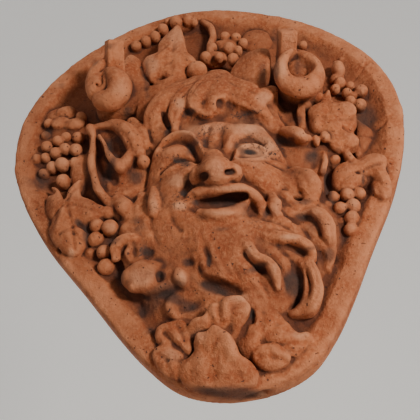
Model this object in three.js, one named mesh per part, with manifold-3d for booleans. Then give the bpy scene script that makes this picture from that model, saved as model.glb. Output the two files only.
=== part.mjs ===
// Terracotta wall plaque with a horned, goat-eared mask among vine leaves and grapes.
// Millimetres, +Z up as it hangs, +X to the viewer's right, relief towards -Y.
// The flat back lies in the plane y = 0 and the origin is on it, near the top.

import * as THREE from 'three';
import { mergeVertices } from 'three/addons/utils/BufferGeometryUtils.js';
import Module from 'manifold-3d';

const wasm = await Module();
wasm.setup();

// Plate
const PLAQUE_WIDTH = 310;
const PLAQUE_HEIGHT = 380;
const GROUND_THICKNESS = 9;
const RIM_THICKNESS = 17;
const RIM_BAND = 14;
const RIM_SLOPE = 15;
const RIM_ROUNDING = 3;

// Relief, from the ground of the plate to the tip of the nose
const RELIEF_DEPTH = 51;

// Hollow back that evens out the clay, and the height of the hanging point over the middle
const HOLLOW_WIDTH = 140;
const HOLLOW_HEIGHT = 180;
const HOLLOW_DEPTH = 21;
const HOLLOW_DROP = 30;
const HANGING_POINT_RISE = 110;

// Berries and locks
const BERRY_RADIUS = 5.2;
const LOCK_SIDES = 8;

// Carving is laid out on a plaque of this width, height and relief, and follows the real sizes
const DRAWN = { width: 310, height: 380, ground: 9, relief: 51 };
const WIDTH_SHARE = PLAQUE_WIDTH / DRAWN.width;
const HEIGHT_SHARE = PLAQUE_HEIGHT / DRAWN.height;
const RELIEF_SHARE = RELIEF_DEPTH / DRAWN.relief;
const ROOT = 4;

// How the finished surface is brought down to its facet budget
const FACET_BUDGET = 9400;
const MERGING_PASSES = 60;
const LARGEST_CRUMB = 20;
const SHORT_EDGE_PREFERENCE = 0.02;
const FOLD_LIMIT = 0.25;
const SMALLEST_FACET = 0.02;
const ON_BACK = 1e-4;

const TERRACOTTA = new THREE.MeshStandardMaterial({ color: 0xb5683f, roughness: 0.92, metalness: 0 });

// A carved point: x across, z up from the middle of the plate, h out from the back
function carved(x, z, h) {
  const out = GROUND_THICKNESS + (h - DRAWN.ground) * RELIEF_SHARE;
  return new THREE.Vector3(x * WIDTH_SHARE, -out, z * HEIGHT_SHARE);
}

// Root of a carved form, sunk into the plate
function rootHeight() {
  return DRAWN.ground + (ROOT - GROUND_THICKNESS) / RELIEF_SHARE;
}

function signedVolume(position, index) {
  const corner = [new THREE.Vector3(), new THREE.Vector3(), new THREE.Vector3()];
  let six = 0;
  for (let i = 0; i < index.count; i += 3) {
    corner.forEach((c, k) => c.fromBufferAttribute(position, index.getX(i + k)));
    six += corner[0].dot(corner[1].clone().cross(corner[2]));
  }
  return six / 6;
}

// A closed three.js geometry as a solid, its faces pointing out
function solid(geometry) {
  const bare = geometry.clone();
  bare.deleteAttribute('normal');
  bare.deleteAttribute('uv');
  const merged = mergeVertices(bare, 1e-3);
  const triVerts = Uint32Array.from(merged.index.array);
  if (signedVolume(merged.attributes.position, merged.index) < 0) {
    for (let i = 0; i < triVerts.length; i += 3) {
      [triVerts[i], triVerts[i + 1]] = [triVerts[i + 1], triVerts[i]];
    }
  }
  const vertProperties = Float32Array.from(merged.attributes.position.array);
  return new wasm.Manifold(new wasm.Mesh({ numProp: 3, vertProperties, triVerts }));
}

function joined(solids) {
  return solids.reduce((whole, next) => whole.add(next));
}

function cutFrom(whole, solids) {
  return solids.reduce((rest, next) => rest.subtract(next), whole);
}

// A ball whose rows and columns are placed by a function of t, pole to pole, and the angle
function mappedBall(sides, rows, place) {
  const geometry = new THREE.SphereGeometry(1, sides, rows);
  const position = geometry.attributes.position;
  for (let i = 0; i < position.count; i += 1) {
    const row = Math.floor(i / (sides + 1));
    const column = (i % (sides + 1)) % sides;
    const point = place(row / rows, (column / sides) * Math.PI * 2);
    position.setXYZ(i, point.x, point.y, point.z);
  }
  return solid(geometry);
}

// An egg: half-sizes across, up and out, turned in the plane of the plate
function egg(x, z, h, across, up, out, turn = 0, sides = 16, rows = 8, rooted = false) {
  const angle = THREE.MathUtils.degToRad(turn);
  return mappedBall(sides, rows, (t, around) => {
    const ring = Math.sin(t * Math.PI);
    const u = ring * Math.cos(around) * across;
    const v = ring * Math.sin(around) * up;
    const dx = u * Math.cos(angle) - v * Math.sin(angle);
    const dz = u * Math.sin(angle) + v * Math.cos(angle);
    const onTop = t < 0.5 + 0.5 / rows;
    const height = onTop || !rooted ? h + Math.cos(t * Math.PI) * out : rootHeight();
    return carved(x + dx, z + dz, height);
  });
}

// An egg whose underside reaches down into the plate, as pressed clay does
function mass(x, z, h, across, up, out, turn = 0, sides = 16, rows = 8) {
  return egg(x, z, h, across, up, out, turn, sides, rows, true);
}

// Value at t from evenly spaced entries
function between(values, t) {
  const place = t * (values.length - 1);
  const low = Math.min(Math.floor(place), values.length - 2);
  return THREE.MathUtils.lerp(values[low], values[low + 1], place - low);
}

// A roll: a rounded bar swept along a path of [x, z, h], with half-widths along it.
// Its ends are round, or cut square; a rooted one reaches down into the plate.
function roll(path, widths, { depthShare = 1, rows = 8, sides = LOCK_SIDES, rooted = false, square = false }) {
  const curve = new THREE.CatmullRomCurve3(path.map(([x, z, h]) => carved(x, z, h)), false, 'centripetal');
  const length = curve.getLength();
  const towardsViewer = new THREE.Vector3(0, -1, 0);
  const half = Math.PI / sides;
  return mappedBall(sides, rows, (share, around) => {
    const t = square ? THREE.MathUtils.clamp((share * rows - 1) / (rows - 2), 0, 1) : share;
    const width = between(widths, t) * HEIGHT_SHARE;
    const fromEnd = Math.min(1, (Math.min(t, 1 - t) * length) / width);
    const isEnd = share === 0 || share === 1;
    const round = square ? Number(!isEnd) : Math.sqrt(Math.max(0, 1 - (1 - fromEnd) ** 2));
    const along = curve.getTangentAt(t);
    const aside = new THREE.Vector3().crossVectors(along, towardsViewer).normalize();
    const out = new THREE.Vector3().crossVectors(aside, along);
    const rise = Math.sin(around + half);
    const point = curve.getPointAt(t).addScaledVector(aside, width * round * Math.cos(around + half));
    if (rooted && rise < 0 && round > 0) {
      return new THREE.Vector3(point.x, carved(0, 0, rootHeight()).y, point.z);
    }
    return point.addScaledVector(out, width * depthShare * RELIEF_SHARE * round * rise);
  });
}

// A lock of hair or a ridge: a roll whose underside reaches down into the plate
function lock(path, widths, depthShare = 1, rows = 8, sides = LOCK_SIDES) {
  return roll(path, widths, { depthShare, rows, sides, rooted: true });
}

// Distance from the middle to a lobed edge, between notches and lobe tips given as [angle, reach]
function lobedReach(degrees, lobes, notch) {
  let reach = notch;
  for (const [tip, length, halfAngle = 36] of lobes) {
    const off = Math.abs(((degrees - tip + 540) % 360) - 180) / halfAngle;
    if (off < 1) {
      reach = Math.max(reach, notch + (length - notch) * (1 - off ** 1.5));
    }
  }
  return reach;
}

// A thick vine leaf: a lobed, domed form with hollows between its lobes and steep edges
function leaf({ x, z, h, turn = 0, lobes, notch = 10, dome = 5, slopeX = 0, slopeZ = 0, sides = 30 }) {
  const rows = 6;
  const edgeDrop = 2;
  const undercut = 0.95;
  return mappedBall(sides, rows, (t, around) => {
    const degrees = THREE.MathUtils.radToDeg(around);
    const rim = lobedReach(degrees, lobes, notch);
    const onTop = t <= 0.5;
    const share = Math.sin(t * Math.PI) * (onTop ? 1 : undercut);
    const direction = around + THREE.MathUtils.degToRad(turn);
    const dx = Math.cos(direction) * rim * share;
    const dz = Math.sin(direction) * rim * share;
    const fold = ((rim - notch) / notch) * share * dome * 0.35;
    const top = h + dome * (1 - share ** 2) - edgeDrop * share ** 4 + fold + slopeX * dx + slopeZ * dz;
    return carved(x + dx, z + dz, onTop ? top : rootHeight());
  });
}

const FIVE_LOBES = (size) => [
  [90, size], [20, size * 0.86], [160, size * 0.86], [-48, size * 0.66], [228, size * 0.66],
];

// A hanging bunch: rows of berries from the stalk end to the tip, each row shifted half a berry
function bunch({ from, to, rows, spread = 9.4, berry = BERRY_RADIUS, proud = 2.5 }) {
  const axis = new THREE.Vector2(to[0] - from[0], to[1] - from[1]);
  const aside = new THREE.Vector2(-axis.y, axis.x).normalize();
  const berries = [];
  rows.forEach((count, row) => {
    const t = rows.length > 1 ? row / (rows.length - 1) : 0;
    for (let k = 0; k < count; k += 1) {
      const off = (k - (count - 1) / 2) * spread + Math.sin(row * 2.3 + k * 1.7);
      const lift = proud * Math.cos((off / (spread * 2)) * Math.PI) + Math.sin(row * 1.9 + k * 2.9);
      const x = from[0] + axis.x * t + aside.x * off;
      const z = from[1] + axis.y * t + aside.y * off + Math.sin(row * 1.3 + k * 2.1) * 1.4;
      const h = THREE.MathUtils.lerp(from[2], to[2], t) + lift;
      const radius = berry * (1 + 0.1 * Math.sin(row * 3.1 + k * 1.9));
      berries.push(berryAt(x, z, h, radius));
    }
  });
  return berries;
}

// One berry, on a neck that reaches down into the plate
function berryAt(x, z, h, radius) {
  const rows = 5;
  const neck = 0.5;
  const ballShare = 0.7;
  return mappedBall(8, rows, (t, around) => {
    const onBall = t < ballShare;
    const share = onBall ? Math.sin(t * Math.PI) : neck * Math.sin(t * Math.PI);
    const dx = Math.cos(around) * radius * share;
    const dz = Math.sin(around) * radius * share;
    return carved(x + dx, z + dz, onBall ? h + radius * Math.cos(t * Math.PI) : rootHeight());
  });
}

// Smooth bump that is 1 at its middle
function bump(dx, dz, across, up) {
  return Math.exp(-((dx / across) ** 2) - (dz / up) ** 2);
}

// Smooth ridge along a path of [x, z]
function ridge(x, z, path, halfWidth) {
  let nearest = Infinity;
  for (let i = 0; i + 1 < path.length; i += 1) {
    const [ax, az] = path[i];
    const [bx, bz] = path[i + 1];
    const run = (bx - ax) ** 2 + (bz - az) ** 2;
    const t = THREE.MathUtils.clamp(((x - ax) * (bx - ax) + (z - az) * (bz - az)) / run, 0, 1);
    nearest = Math.min(nearest, Math.hypot(x - ax - t * (bx - ax), z - az - t * (bz - az)));
  }
  return Math.exp(-((nearest / halfWidth) ** 2));
}

// The rim profile: height of the plate at a distance from its edge
function plateHeight(fromEdge) {
  const crown = RIM_THICKNESS - RIM_ROUNDING;
  if (fromEdge <= RIM_ROUNDING) {
    const t = fromEdge / RIM_ROUNDING;
    return crown + RIM_ROUNDING * Math.sqrt(1 - (1 - t) ** 2);
  }
  if (fromEdge <= RIM_BAND) {
    return RIM_THICKNESS;
  }
  const t = Math.min(1, (fromEdge - RIM_BAND) / RIM_SLOPE);
  return THREE.MathUtils.lerp(RIM_THICKNESS, GROUND_THICKNESS, Math.sin((t * Math.PI) / 2));
}

// Rounded-shield outline, the right half as shares of half width and half height, mirrored
function outlineCurve() {
  const rightHalf = [
    [0.26, 0.935], [0.52, 0.83], [0.78, 0.645], [0.955, 0.41], [1, 0.17],
    [0.965, -0.01], [0.84, -0.265], [0.64, -0.53], [0.39, -0.84], [0.24, -0.955],
  ];
  const top = [0, 0.975];
  const foot = [0, -1.0];
  const leftHalf = rightHalf.map(([across, up]) => [-across, up]).reverse();
  const points = [top, ...rightHalf, foot, ...leftHalf].map(([across, up]) => new THREE.Vector3(
    (across * PLAQUE_WIDTH) / 2, 0, (up * PLAQUE_HEIGHT) / 2,
  ));
  return new THREE.CatmullRomCurve3(points, true, 'centripetal');
}

// The plate: the rim profile turned as a lathe and drawn out to the outline
function plate() {
  const sides = 72;
  const fromEdges = [0, RIM_ROUNDING / 3, RIM_ROUNDING, RIM_BAND, RIM_BAND + RIM_SLOPE / 3,
    RIM_BAND + (2 * RIM_SLOPE) / 3, RIM_BAND + RIM_SLOPE];
  const outermost = PLAQUE_WIDTH / 2;
  const profile = [new THREE.Vector2(0, 0), new THREE.Vector2(outermost, 0)];
  fromEdges.forEach((d) => profile.push(new THREE.Vector2(outermost - d, plateHeight(d))));
  profile.push(new THREE.Vector2(0, GROUND_THICKNESS));
  const geometry = new THREE.LatheGeometry(profile, sides);
  const curve = outlineCurve();
  const position = geometry.attributes.position;
  for (let i = 0; i < position.count; i += 1) {
    const side = Math.floor(i / profile.length) % sides;
    const ring = profile[i % profile.length];
    const edge = curve.getPointAt(side / sides);
    const tangent = curve.getTangentAt(side / sides);
    const inward = new THREE.Vector3(-tangent.z, 0, tangent.x).normalize();
    if (inward.dot(edge) > 0) {
      inward.negate();
    }
    const point = ring.x === 0 ? new THREE.Vector3() : edge.addScaledVector(inward, outermost - ring.x);
    position.setXYZ(i, point.x, -ring.y, point.z);
  }
  return solid(geometry);
}

const FACE = { left: -50, right: 55, foot: -96, brow: 30, middle: 2.5 };

// Height of the face over the back, with brows, eyes, nose, cheeks, lips and chin
function faceHeight(x, z) {
  const across = x - FACE.middle;
  const dome = Math.max(0, 1 - (across / 60) ** 2 - ((z + 30) / 76) ** 2);
  let h = 12 + 26 * Math.sqrt(dome);
  h += 3 * bump(across, z - 10, 30, 13);
  const browLeft = [[-8, -20], [-13, -8], [-22, -1], [-33, 2], [-41, -5]];
  const browRight = [[11, -18], [17, -6], [28, 1], [40, 2], [48, -5]];
  h += 7 * ridge(x, z, browLeft, 6) + 7 * ridge(x, z, browRight, 6);
  h -= 8 * bump(x + 25, z + 19, 14, 8) + 8 * bump(x - 30, z + 19, 14, 8);
  h += 7 * bump(x + 29, z + 9, 10, 7) + 7 * bump(x - 30, z + 16, 9, 7);
  h -= 5 * ridge(x, z, [[-41, -25], [-27, -19], [-13, -22]], 2.2);
  h += 3 * ridge(x, z, [[14, -27], [23, -13], [36, -12], [43, -22]], 2.5);
  h -= 4 * bump(x - 32, z + 21, 6, 3);
  h += 7 * bump(x + 32, z + 43, 17, 14) + 8 * bump(x - 38, z + 45, 17, 15);
  const noseLine = between([40, 42, 46, 53, 59.5, 60, 45], THREE.MathUtils.clamp((-8 - z) / 46, 0, 1));
  const noseWidth = between([7, 7, 8, 9.5, 11, 11, 9], THREE.MathUtils.clamp((-8 - z) / 46, 0, 1));
  const onNose = THREE.MathUtils.smoothstep(z, -58, -50) * (1 - THREE.MathUtils.smoothstep(z, -12, 2));
  h = THREE.MathUtils.lerp(h, Math.max(h, noseLine), onNose * Math.exp(-((across / noseWidth) ** 4)));
  h += 9 * bump(x + 10, z + 47, 6.5, 7) + 9 * bump(x - 15, z + 47, 6.5, 7);
  h += 5 * bump(across, z + 60, 22, 8);
  h += 5 * ridge(x, z, [[-18, -61], [-9, -58], [3, -60], [15, -59], [24, -64]], 5);
  h += 6 * ridge(x, z, [[-13, -75], [3, -80], [18, -75]], 4.5);
  h += 5 * ridge(x, z, [[20, -58], [28, -67], [28, -80]], 5);
  h += 4 * ridge(x, z, [[-20, -58], [-25, -68], [-22, -80]], 5);
  h += 5 * bump(across, z + 88, 13, 7);
  return h;
}

// A block whose front follows a height function
function face() {
  const columns = 44;
  const rows = 52;
  const width = FACE.right - FACE.left;
  const height = FACE.brow - FACE.foot;
  const block = new THREE.BoxGeometry(1, 1, 1, columns, 1, rows);
  const position = block.attributes.position;
  for (let i = 0; i < position.count; i += 1) {
    const x = FACE.left + (position.getX(i) + 0.5) * width;
    const z = FACE.foot + (position.getZ(i) + 0.5) * height;
    const h = position.getY(i) < 0 ? faceHeight(x, z) : rootHeight();
    const point = carved(x, z, h);
    position.setXYZ(i, point.x, point.y, point.z);
  }
  return solid(block);
}

// Open mouth and nostrils
function faceCuts() {
  return [
    egg(4, -69.5, 46, 17, 5, 17, -2, 14, 8),
    egg(-8, -51, 48, 3.2, 2.6, 8, 0, 8, 6),
    egg(13, -50, 47, 3.8, 2.8, 8, 0, 8, 6),
  ];
}

// The head behind the face, from the crown to the end of the beard
function headMasses() {
  return [
    mass(0, 24, 6, 68, 58, 29, 0, 20, 8),
    mass(-64, -6, 6, 34, 56, 18, 0, 16, 6),
    mass(66, -14, 6, 34, 60, 18, 0, 16, 6),
    mass(2, -72, 6, 84, 52, 23, 0, 20, 8),
    mass(0, -120, 6, 58, 50, 22, 0, 20, 8),
  ];
}

function foreheadHair() {
  return [
    lock([[-16, 62, 32], [-34, 54, 34], [-43, 34, 35], [-42, 10, 34]], [9, 12, 10, 3], 0.8),
    lock([[-8, 64, 34], [-22, 50, 37], [-29, 30, 38], [-28, 9, 38]], [9, 11, 8, 3], 0.8),
    lock([[0, 66, 34], [-10, 50, 38], [-13, 34, 40], [-8, 18, 40]], [9, 10, 9, 5], 0.8),
    lock([[2, 32, 41], [8, 47, 40], [19, 43, 40], [14, 31, 40]], [7, 10, 8, 3], 0.8),
    lock([[6, 66, 32], [24, 57, 35], [38, 45, 36], [49, 34, 37]], [9, 11, 10, 7], 0.8),
    lock([[8, 46, 37], [24, 34, 37], [37, 23, 36], [49, 8, 32]], [8, 10, 9, 4], 0.8),
    lock([[26, 68, 30], [44, 58, 32], [56, 47, 32], [61, 32, 30]], [9, 10, 9, 7], 0.8),
    mass(0, 70, 32, 9, 9, 9, 0, 10, 6),
    mass(-47, 40, 22, 12, 26, 11, 0, 12, 6),
    mass(56, 16, 22, 10, 18, 10, 20, 12, 6),
  ];
}

function beardLocks() {
  return [
    lock([[-6, -92, 33], [-2, -108, 34], [4, -126, 33]], [16, 17, 8], 0.5),
    lock([[-10, -96, 30], [-16, -112, 30], [-22, -128, 28]], [8, 8, 5], 0.8),
    lock([[13, -98, 36], [16, -114, 38], [27, -120, 38], [30, -128, 37], [27, -137, 33]], [5, 6, 6, 6, 4], 0.9),
    lock([[32, -97, 33], [44, -102, 36], [54, -108, 34], [58, -116, 30]], [5, 6, 6, 4], 0.9),
    lock([[50, -112, 30], [53, -125, 31], [50, -138, 29], [36, -148, 24]], [5, 7, 7, 4], 0.9, 10),
    lock([[53, -80, 26], [61, -77, 29], [69, -86, 29], [70, -96, 27], [65, -108, 22]], [5, 6, 6, 6, 3], 0.9),
    lock([[-54, -79, 28], [-65, -80, 31], [-72, -88, 29], [-68, -97, 26]], [5, 6, 6, 4], 0.9),
    lock([[-59, -108, 27], [-48, -117, 28], [-38, -113, 25]], [8, 8, 5], 0.8),
    lock([[-21, -126, 26], [-33, -129, 29], [-39, -137, 27], [-30, -141, 25]], [5, 6, 6, 4], 0.9),
    lock([[-32, -104, 31], [-30, -113, 31], [-28, -122, 29]], [4, 6, 4], 0.9, 6),
    lock([[-36, -70, 30], [-44, -86, 29], [-46, -100, 27]], [9, 8, 4], 0.7),
    lock([[-24, -78, 33], [-28, -92, 32], [-34, -102, 29]], [7, 7, 3], 0.7),
    lock([[32, -72, 34], [38, -84, 33], [40, -94, 30]], [7, 7, 3], 0.7),
    lock([[57, -46, 30], [61, -58, 31], [63, -70, 27]], [6, 6.5, 5], 0.8, 6),
    lock([[60, 6, 27], [67, -6, 30], [70, -14, 28]], [5, 5.5, 4], 0.9, 6),
    lock([[-46, -46, 29], [-47, -57, 31], [-44, -66, 29]], [5, 6, 4], 0.9, 6),
    lock([[50, -28, 26], [58, -22, 28], [64, -30, 26]], [6, 6, 4], 0.7, 6),
    lock([[20, -138, 24], [34, -132, 25], [46, -128, 22]], [7, 7, 4], 0.6, 6),
  ];
}

// Left side: the upright goat ear with its rolled outer edge, inner flap and two hollows
function leftEar() {
  return [
    mass(-72, 0, 8, 20, 44, 15, 8, 14, 6),
    lock([[-84, 36, 24], [-89, 18, 27], [-88, 0, 28], [-86, -18, 26], [-79, -34, 22], [-69, -48, 17]],
      [4, 5.5, 6, 6, 6, 4], 0.9, 10),
    lock([[-80, 20, 28], [-73, 0, 30], [-66, -15, 31], [-60, -8, 31]], [3, 4.5, 5, 3], 0.9),
    lock([[-70, 34, 29], [-60, 19, 34], [-54, 4, 35], [-49, -12, 32]], [5, 7, 7, 5], 0.8),
  ];
}

// Curled horn: a roll that winds round a small hollow, and a squared stub that rises from it
function horn(curl, stub, cone) {
  const curlWidths = [7, 8.5, 9.5, 10, 10, 9, 7, 3.5];
  return [
    roll(curl, curlWidths, { rows: 14 }),
    roll(stub, [10, 9.5, 9, 9], { rows: 8, sides: 4, square: true }),
    lock(cone, [9, 11, 10], 0.8, 6),
  ];
}

function horns() {
  const leftCurl = [[-76, 91, 42], [-85, 82, 37], [-86, 68, 34], [-78, 54, 33], [-66, 47, 36],
    [-57, 55, 40], [-60, 69, 44], [-72, 78, 45]];
  const leftStub = [[-49, 58, 28], [-51, 74, 38], [-57, 88, 47], [-64, 99, 56]];
  const leftCone = [[-34, 62, 30], [-44, 66, 31], [-50, 78, 32]];
  const rightCurl = [[84, 72, 42], [93, 66, 37], [95, 53, 34], [88, 41, 33], [76, 35, 36],
    [67, 43, 41], [69, 54, 45], [76, 62, 47]];
  const rightStub = [[54, 52, 28], [58, 66, 38], [65, 75, 47], [75, 83, 56]];
  const rightCone = [[27, 66, 30], [43, 71, 34], [57, 78, 36]];
  return [
    ...horn(leftCurl, leftStub, leftCone),
    ...horn(rightCurl, rightStub, rightCone),
    mass(-70, 68, 8, 17, 24, 25, 0, 12, 6),
    mass(80, 52, 8, 17, 22, 27, 0, 12, 6),
  ];
}

function leaves() {
  return [
    leaf({ x: -23, z: 104, h: 26, turn: -12,
      lobes: [[90, 44, 44], [140, 33, 40], [205, 27, 44], [-90, 38, 44], [15, 22, 40]],
      notch: 18, dome: 8, slopeZ: -0.04 }),
    leaf({ x: -114, z: 60, h: 13, turn: 60, lobes: FIVE_LOBES(20), notch: 10, dome: 4, sides: 20 }),
    leaf({ x: 55, z: 128, h: 12, turn: 20, lobes: FIVE_LOBES(18), notch: 9, dome: 4, sides: 20 }),
    leaf({ x: -100, z: -40, h: 19, turn: 180, lobes: [[90, 34], [25, 24], [150, 22], [-70, 26], [250, 24]],
      notch: 13, dome: 7 }),
    leaf({ x: 92, z: 4, h: 24, turn: 0, lobes: [[90, 24], [30, 22], [160, 18], [-50, 28], [235, 20]],
      notch: 12, dome: 7 }),
    leaf({ x: 112, z: -16, h: 14, turn: -80, lobes: FIVE_LOBES(20), notch: 10, dome: 4, sides: 20 }),
    leaf({ x: 101, z: -50, h: 21, turn: 0, lobes: [[100, 18], [35, 22], [170, 21], [-55, 24], [215, 18]],
      notch: 10, dome: 7 }),
    leaf({ x: -16, z: -162, h: 30, turn: 180,
      lobes: [[90, 24, 44], [30, 24, 40], [150, 24, 40], [-60, 21, 40], [240, 22, 44]],
      notch: 15, dome: 9, slopeZ: 0.12 }),
    leaf({ x: -40, z: -156, h: 18, turn: 140, lobes: FIVE_LOBES(17), notch: 9, dome: 5, sides: 20 }),
    leaf({ x: 21, z: -165, h: 23, turn: -60, lobes: [[90, 22], [20, 20], [150, 24], [-60, 16], [230, 15]],
      notch: 10, dome: 7 }),
    lock([[-30, -150, 32], [-18, -144, 38], [-4, -142, 41], [8, -147, 37]], [5, 7, 7, 5], 0.7),
    leaf({ x: 113, z: 64, h: 13, turn: 10, lobes: [[90, 13], [270, 12]], notch: 6, dome: 5, sides: 12 }),
  ];
}

function berries() {
  return [
    ...bunch({ from: [-50, 146, 12], to: [4, 163, 14], rows: [1, 2, 1, 2, 1, 1], spread: 9 }),
    ...bunch({ from: [40, 124, 17], to: [18, 80, 26], rows: [2, 3, 2, 2, 1], spread: 9 }),
    ...bunch({ from: [-120, 38, 13], to: [-113, -7, 15], rows: [3, 4, 3, 2, 1] }),
    ...bunch({ from: [-80, -58, 20], to: [-82, -91, 15], rows: [2, 2, 2, 1], berry: 5.4 }),
    ...bunch({ from: [119, 48, 12], to: [118, 20, 15], rows: [1, 2, 2, 1] }),
    ...bunch({ from: [87, -64, 19], to: [83, -93, 16], rows: [3, 3, 2, 1] }),
    berryAt(90, 31, 22, 5.5),
    berryAt(79, -13, 23, 4.5),
    berryAt(85, -40, 22, 5),
    berryAt(-12, 150, 12, 5),
  ];
}

// The stem that runs up beside the top leaf
function stem() {
  return lock([[12, 103, 22], [16, 120, 19], [19, 133, 17], [17, 146, 15], [7, 156, 14]],
    [4, 3.5, 3.2, 3, 3], 0.9, 8, 6);
}

// Hollow back, an oval dish under the head
function hollowBack() {
  const dish = new THREE.SphereGeometry(1, 28, 12);
  dish.rotateX(Math.PI / 2);
  dish.scale(HOLLOW_WIDTH / 2, HOLLOW_DEPTH, HOLLOW_HEIGHT / 2);
  dish.translate(0, 0, -HOLLOW_DROP);
  return solid(dish);
}

// Everything that lies behind the back plane, so that the contact face is flat
function behindTheBack() {
  const slab = new THREE.BoxGeometry(PLAQUE_WIDTH * 2, RELIEF_DEPTH, PLAQUE_HEIGHT * 2);
  slab.translate(0, RELIEF_DEPTH / 2, 0);
  return solid(slab);
}

function plaqueSolid() {
  const carving = joined([
    plate(), ...headMasses(), face(), ...foreheadHair(), ...beardLocks(), ...leftEar(), ...horns(),
    ...leaves(), ...berries(), stem(),
  ]);
  return cutFrom(carving, [...faceCuts(), hollowBack(), behindTheBack()]);
}

// The corner that stands for each corner's shell
function shellOf(corner, leader) {
  let at = corner;
  while (leader[at] !== at) {
    leader[at] = leader[leader[at]];
    at = leader[at];
  }
  return at;
}

// The triangles without the shells of sealed gaps and crumbs under the carving: clay fills those
function withoutSealedGaps(vertices, triangles) {
  const leader = Uint32Array.from({ length: vertices.length / 3 }, (_, i) => i);
  for (let i = 0; i < triangles.length; i += 3) {
    leader[shellOf(triangles[i + 1], leader)] = shellOf(triangles[i], leader);
    leader[shellOf(triangles[i + 2], leader)] = shellOf(triangles[i], leader);
  }
  const volumes = new Map();
  const corner = (k) => new THREE.Vector3().fromArray(vertices, triangles[k] * 3);
  for (let i = 0; i < triangles.length; i += 3) {
    const shell = shellOf(triangles[i], leader);
    const share = corner(i).dot(corner(i + 1).cross(corner(i + 2))) / 6;
    volumes.set(shell, (volumes.get(shell) || 0) + share);
  }
  const stays = (k) => volumes.get(shellOf(triangles[k - (k % 3)], leader)) > LARGEST_CRUMB;
  return Array.from(triangles).filter((_, k) => stays(k));
}

// Sum of squared distances to planes, as the ten terms of a quadratic form
function planeTerms(a, b, c) {
  const normal = b.clone().sub(a).cross(c.clone().sub(a));
  const area = normal.length() / 2;
  normal.normalize();
  const { x, y, z } = normal;
  const w = -normal.dot(a);
  return [x * x, x * y, x * z, x * w, y * y, y * z, y * w, z * z, z * w, w * w].map((term) => term * area);
}

function distanceCost(terms, { x, y, z }) {
  const [xx, xy, xz, xw, yy, yz, yw, zz, zw, ww] = terms;
  return xx * x * x + 2 * xy * x * y + 2 * xz * x * z + 2 * xw * x + yy * y * y
    + 2 * yz * y * z + 2 * yw * y + zz * z * z + 2 * zw * z + ww;
}

// A closed surface that can draw its edges together, each corner knowing its triangles
class Surface {
  constructor(vertices, triangles) {
    this.corners = [];
    for (let i = 0; i < vertices.length; i += 3) {
      this.corners.push(new THREE.Vector3().fromArray(vertices, i));
    }
    this.faces = [];
    this.facesAt = this.corners.map(() => new Set());
    this.terms = this.corners.map(() => new Array(10).fill(0));
    this.changes = new Uint32Array(this.corners.length);
    for (let i = 0; i < triangles.length; i += 3) {
      const face = [triangles[i], triangles[i + 1], triangles[i + 2]];
      const plane = planeTerms(...face.map((k) => this.corners[k]));
      for (const k of face) {
        this.facesAt[k].add(this.faces.length);
        plane.forEach((term, n) => { this.terms[k][n] += term; });
      }
      this.faces.push(face);
    }
    this.faceCount = this.faces.length;
  }

  neighbours(corner) {
    const found = new Set();
    this.facesAt[corner].forEach((f) => this.faces[f].forEach((k) => found.add(k)));
    found.delete(corner);
    return found;
  }

  // The cheapest place to draw an edge together; corners of the back plane never leave it
  edge(a, b) {
    const [from, to] = [this.corners[a], this.corners[b]];
    const middle = from.clone().lerp(to, 0.5);
    const onBack = [from, to].filter((corner) => Math.abs(corner.y) < ON_BACK);
    const places = onBack.length === 1 ? onBack : [from, to, middle];
    const terms = this.terms[a].map((term, n) => term + this.terms[b][n]);
    const costs = places.map((place) => distanceCost(terms, place));
    const best = costs.indexOf(Math.min(...costs));
    const cost = costs[best] + SHORT_EDGE_PREFERENCE * from.distanceToSquared(to);
    return { a, b, cost, place: places[best].clone(), seen: this.changes[a] + this.changes[b] };
  }

  // Whether no triangle round a corner folds over when the corner moves
  staysOpen(corner, gone, place) {
    for (const f of this.facesAt[corner]) {
      const face = this.faces[f];
      if (!face.includes(gone)) {
        const before = face.map((k) => this.corners[k]);
        const after = face.map((k) => (k === corner ? place : this.corners[k]));
        const [was, is] = [before, after].map(([p, q, r]) => q.clone().sub(p).cross(r.clone().sub(p)));
        if (was.dot(is) <= FOLD_LIMIT * was.length() * is.length() || is.length() < SMALLEST_FACET) {
          return false;
        }
      }
    }
    return true;
  }

  drawTogether({ a, b, place }) {
    const shared = [...this.facesAt[a]].filter((f) => this.facesAt[b].has(f));
    const around = this.neighbours(b);
    const common = [...this.neighbours(a)].filter((k) => around.has(k));
    if (shared.length !== 2 || common.length !== 2) {
      return false;
    }
    if (!this.staysOpen(a, b, place) || !this.staysOpen(b, a, place)) {
      return false;
    }
    shared.forEach((f) => this.faces[f].forEach((k) => this.facesAt[k].delete(f)));
    shared.forEach((f) => { this.faces[f] = null; });
    this.facesAt[b].forEach((f) => {
      this.faces[f] = this.faces[f].map((k) => (k === b ? a : k));
      this.facesAt[a].add(f);
    });
    this.facesAt[b].clear();
    this.terms[a] = this.terms[a].map((term, n) => term + this.terms[b][n]);
    this.corners[a] = place;
    this.changes[a] += 1;
    this.changes[b] += 1;
    this.faceCount -= 2;
    return true;
  }
}

// Facets are merged in passes, the flattest places first, down to the facet budget
function withFewerFacets(vertices, triangles, budget) {
  const surface = new Surface(vertices, triangles);
  for (let pass = 0; pass < MERGING_PASSES && surface.faceCount > budget; pass += 1) {
    const edges = [];
    surface.corners.forEach((_, a) => {
      surface.neighbours(a).forEach((b) => {
        if (a < b) {
          edges.push(surface.edge(a, b));
        }
      });
    });
    edges.sort((one, other) => one.cost - other.cost);
    const share = Math.max(200, Math.ceil((surface.faceCount - budget) / 4));
    const goal = Math.max(budget, surface.faceCount - share);
    for (const edge of edges) {
      if (surface.faceCount <= goal) {
        break;
      }
      if (edge.seen === surface.changes[edge.a] + surface.changes[edge.b]) {
        surface.drawTogether(edge);
      }
    }
  }
  return surface;
}

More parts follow.
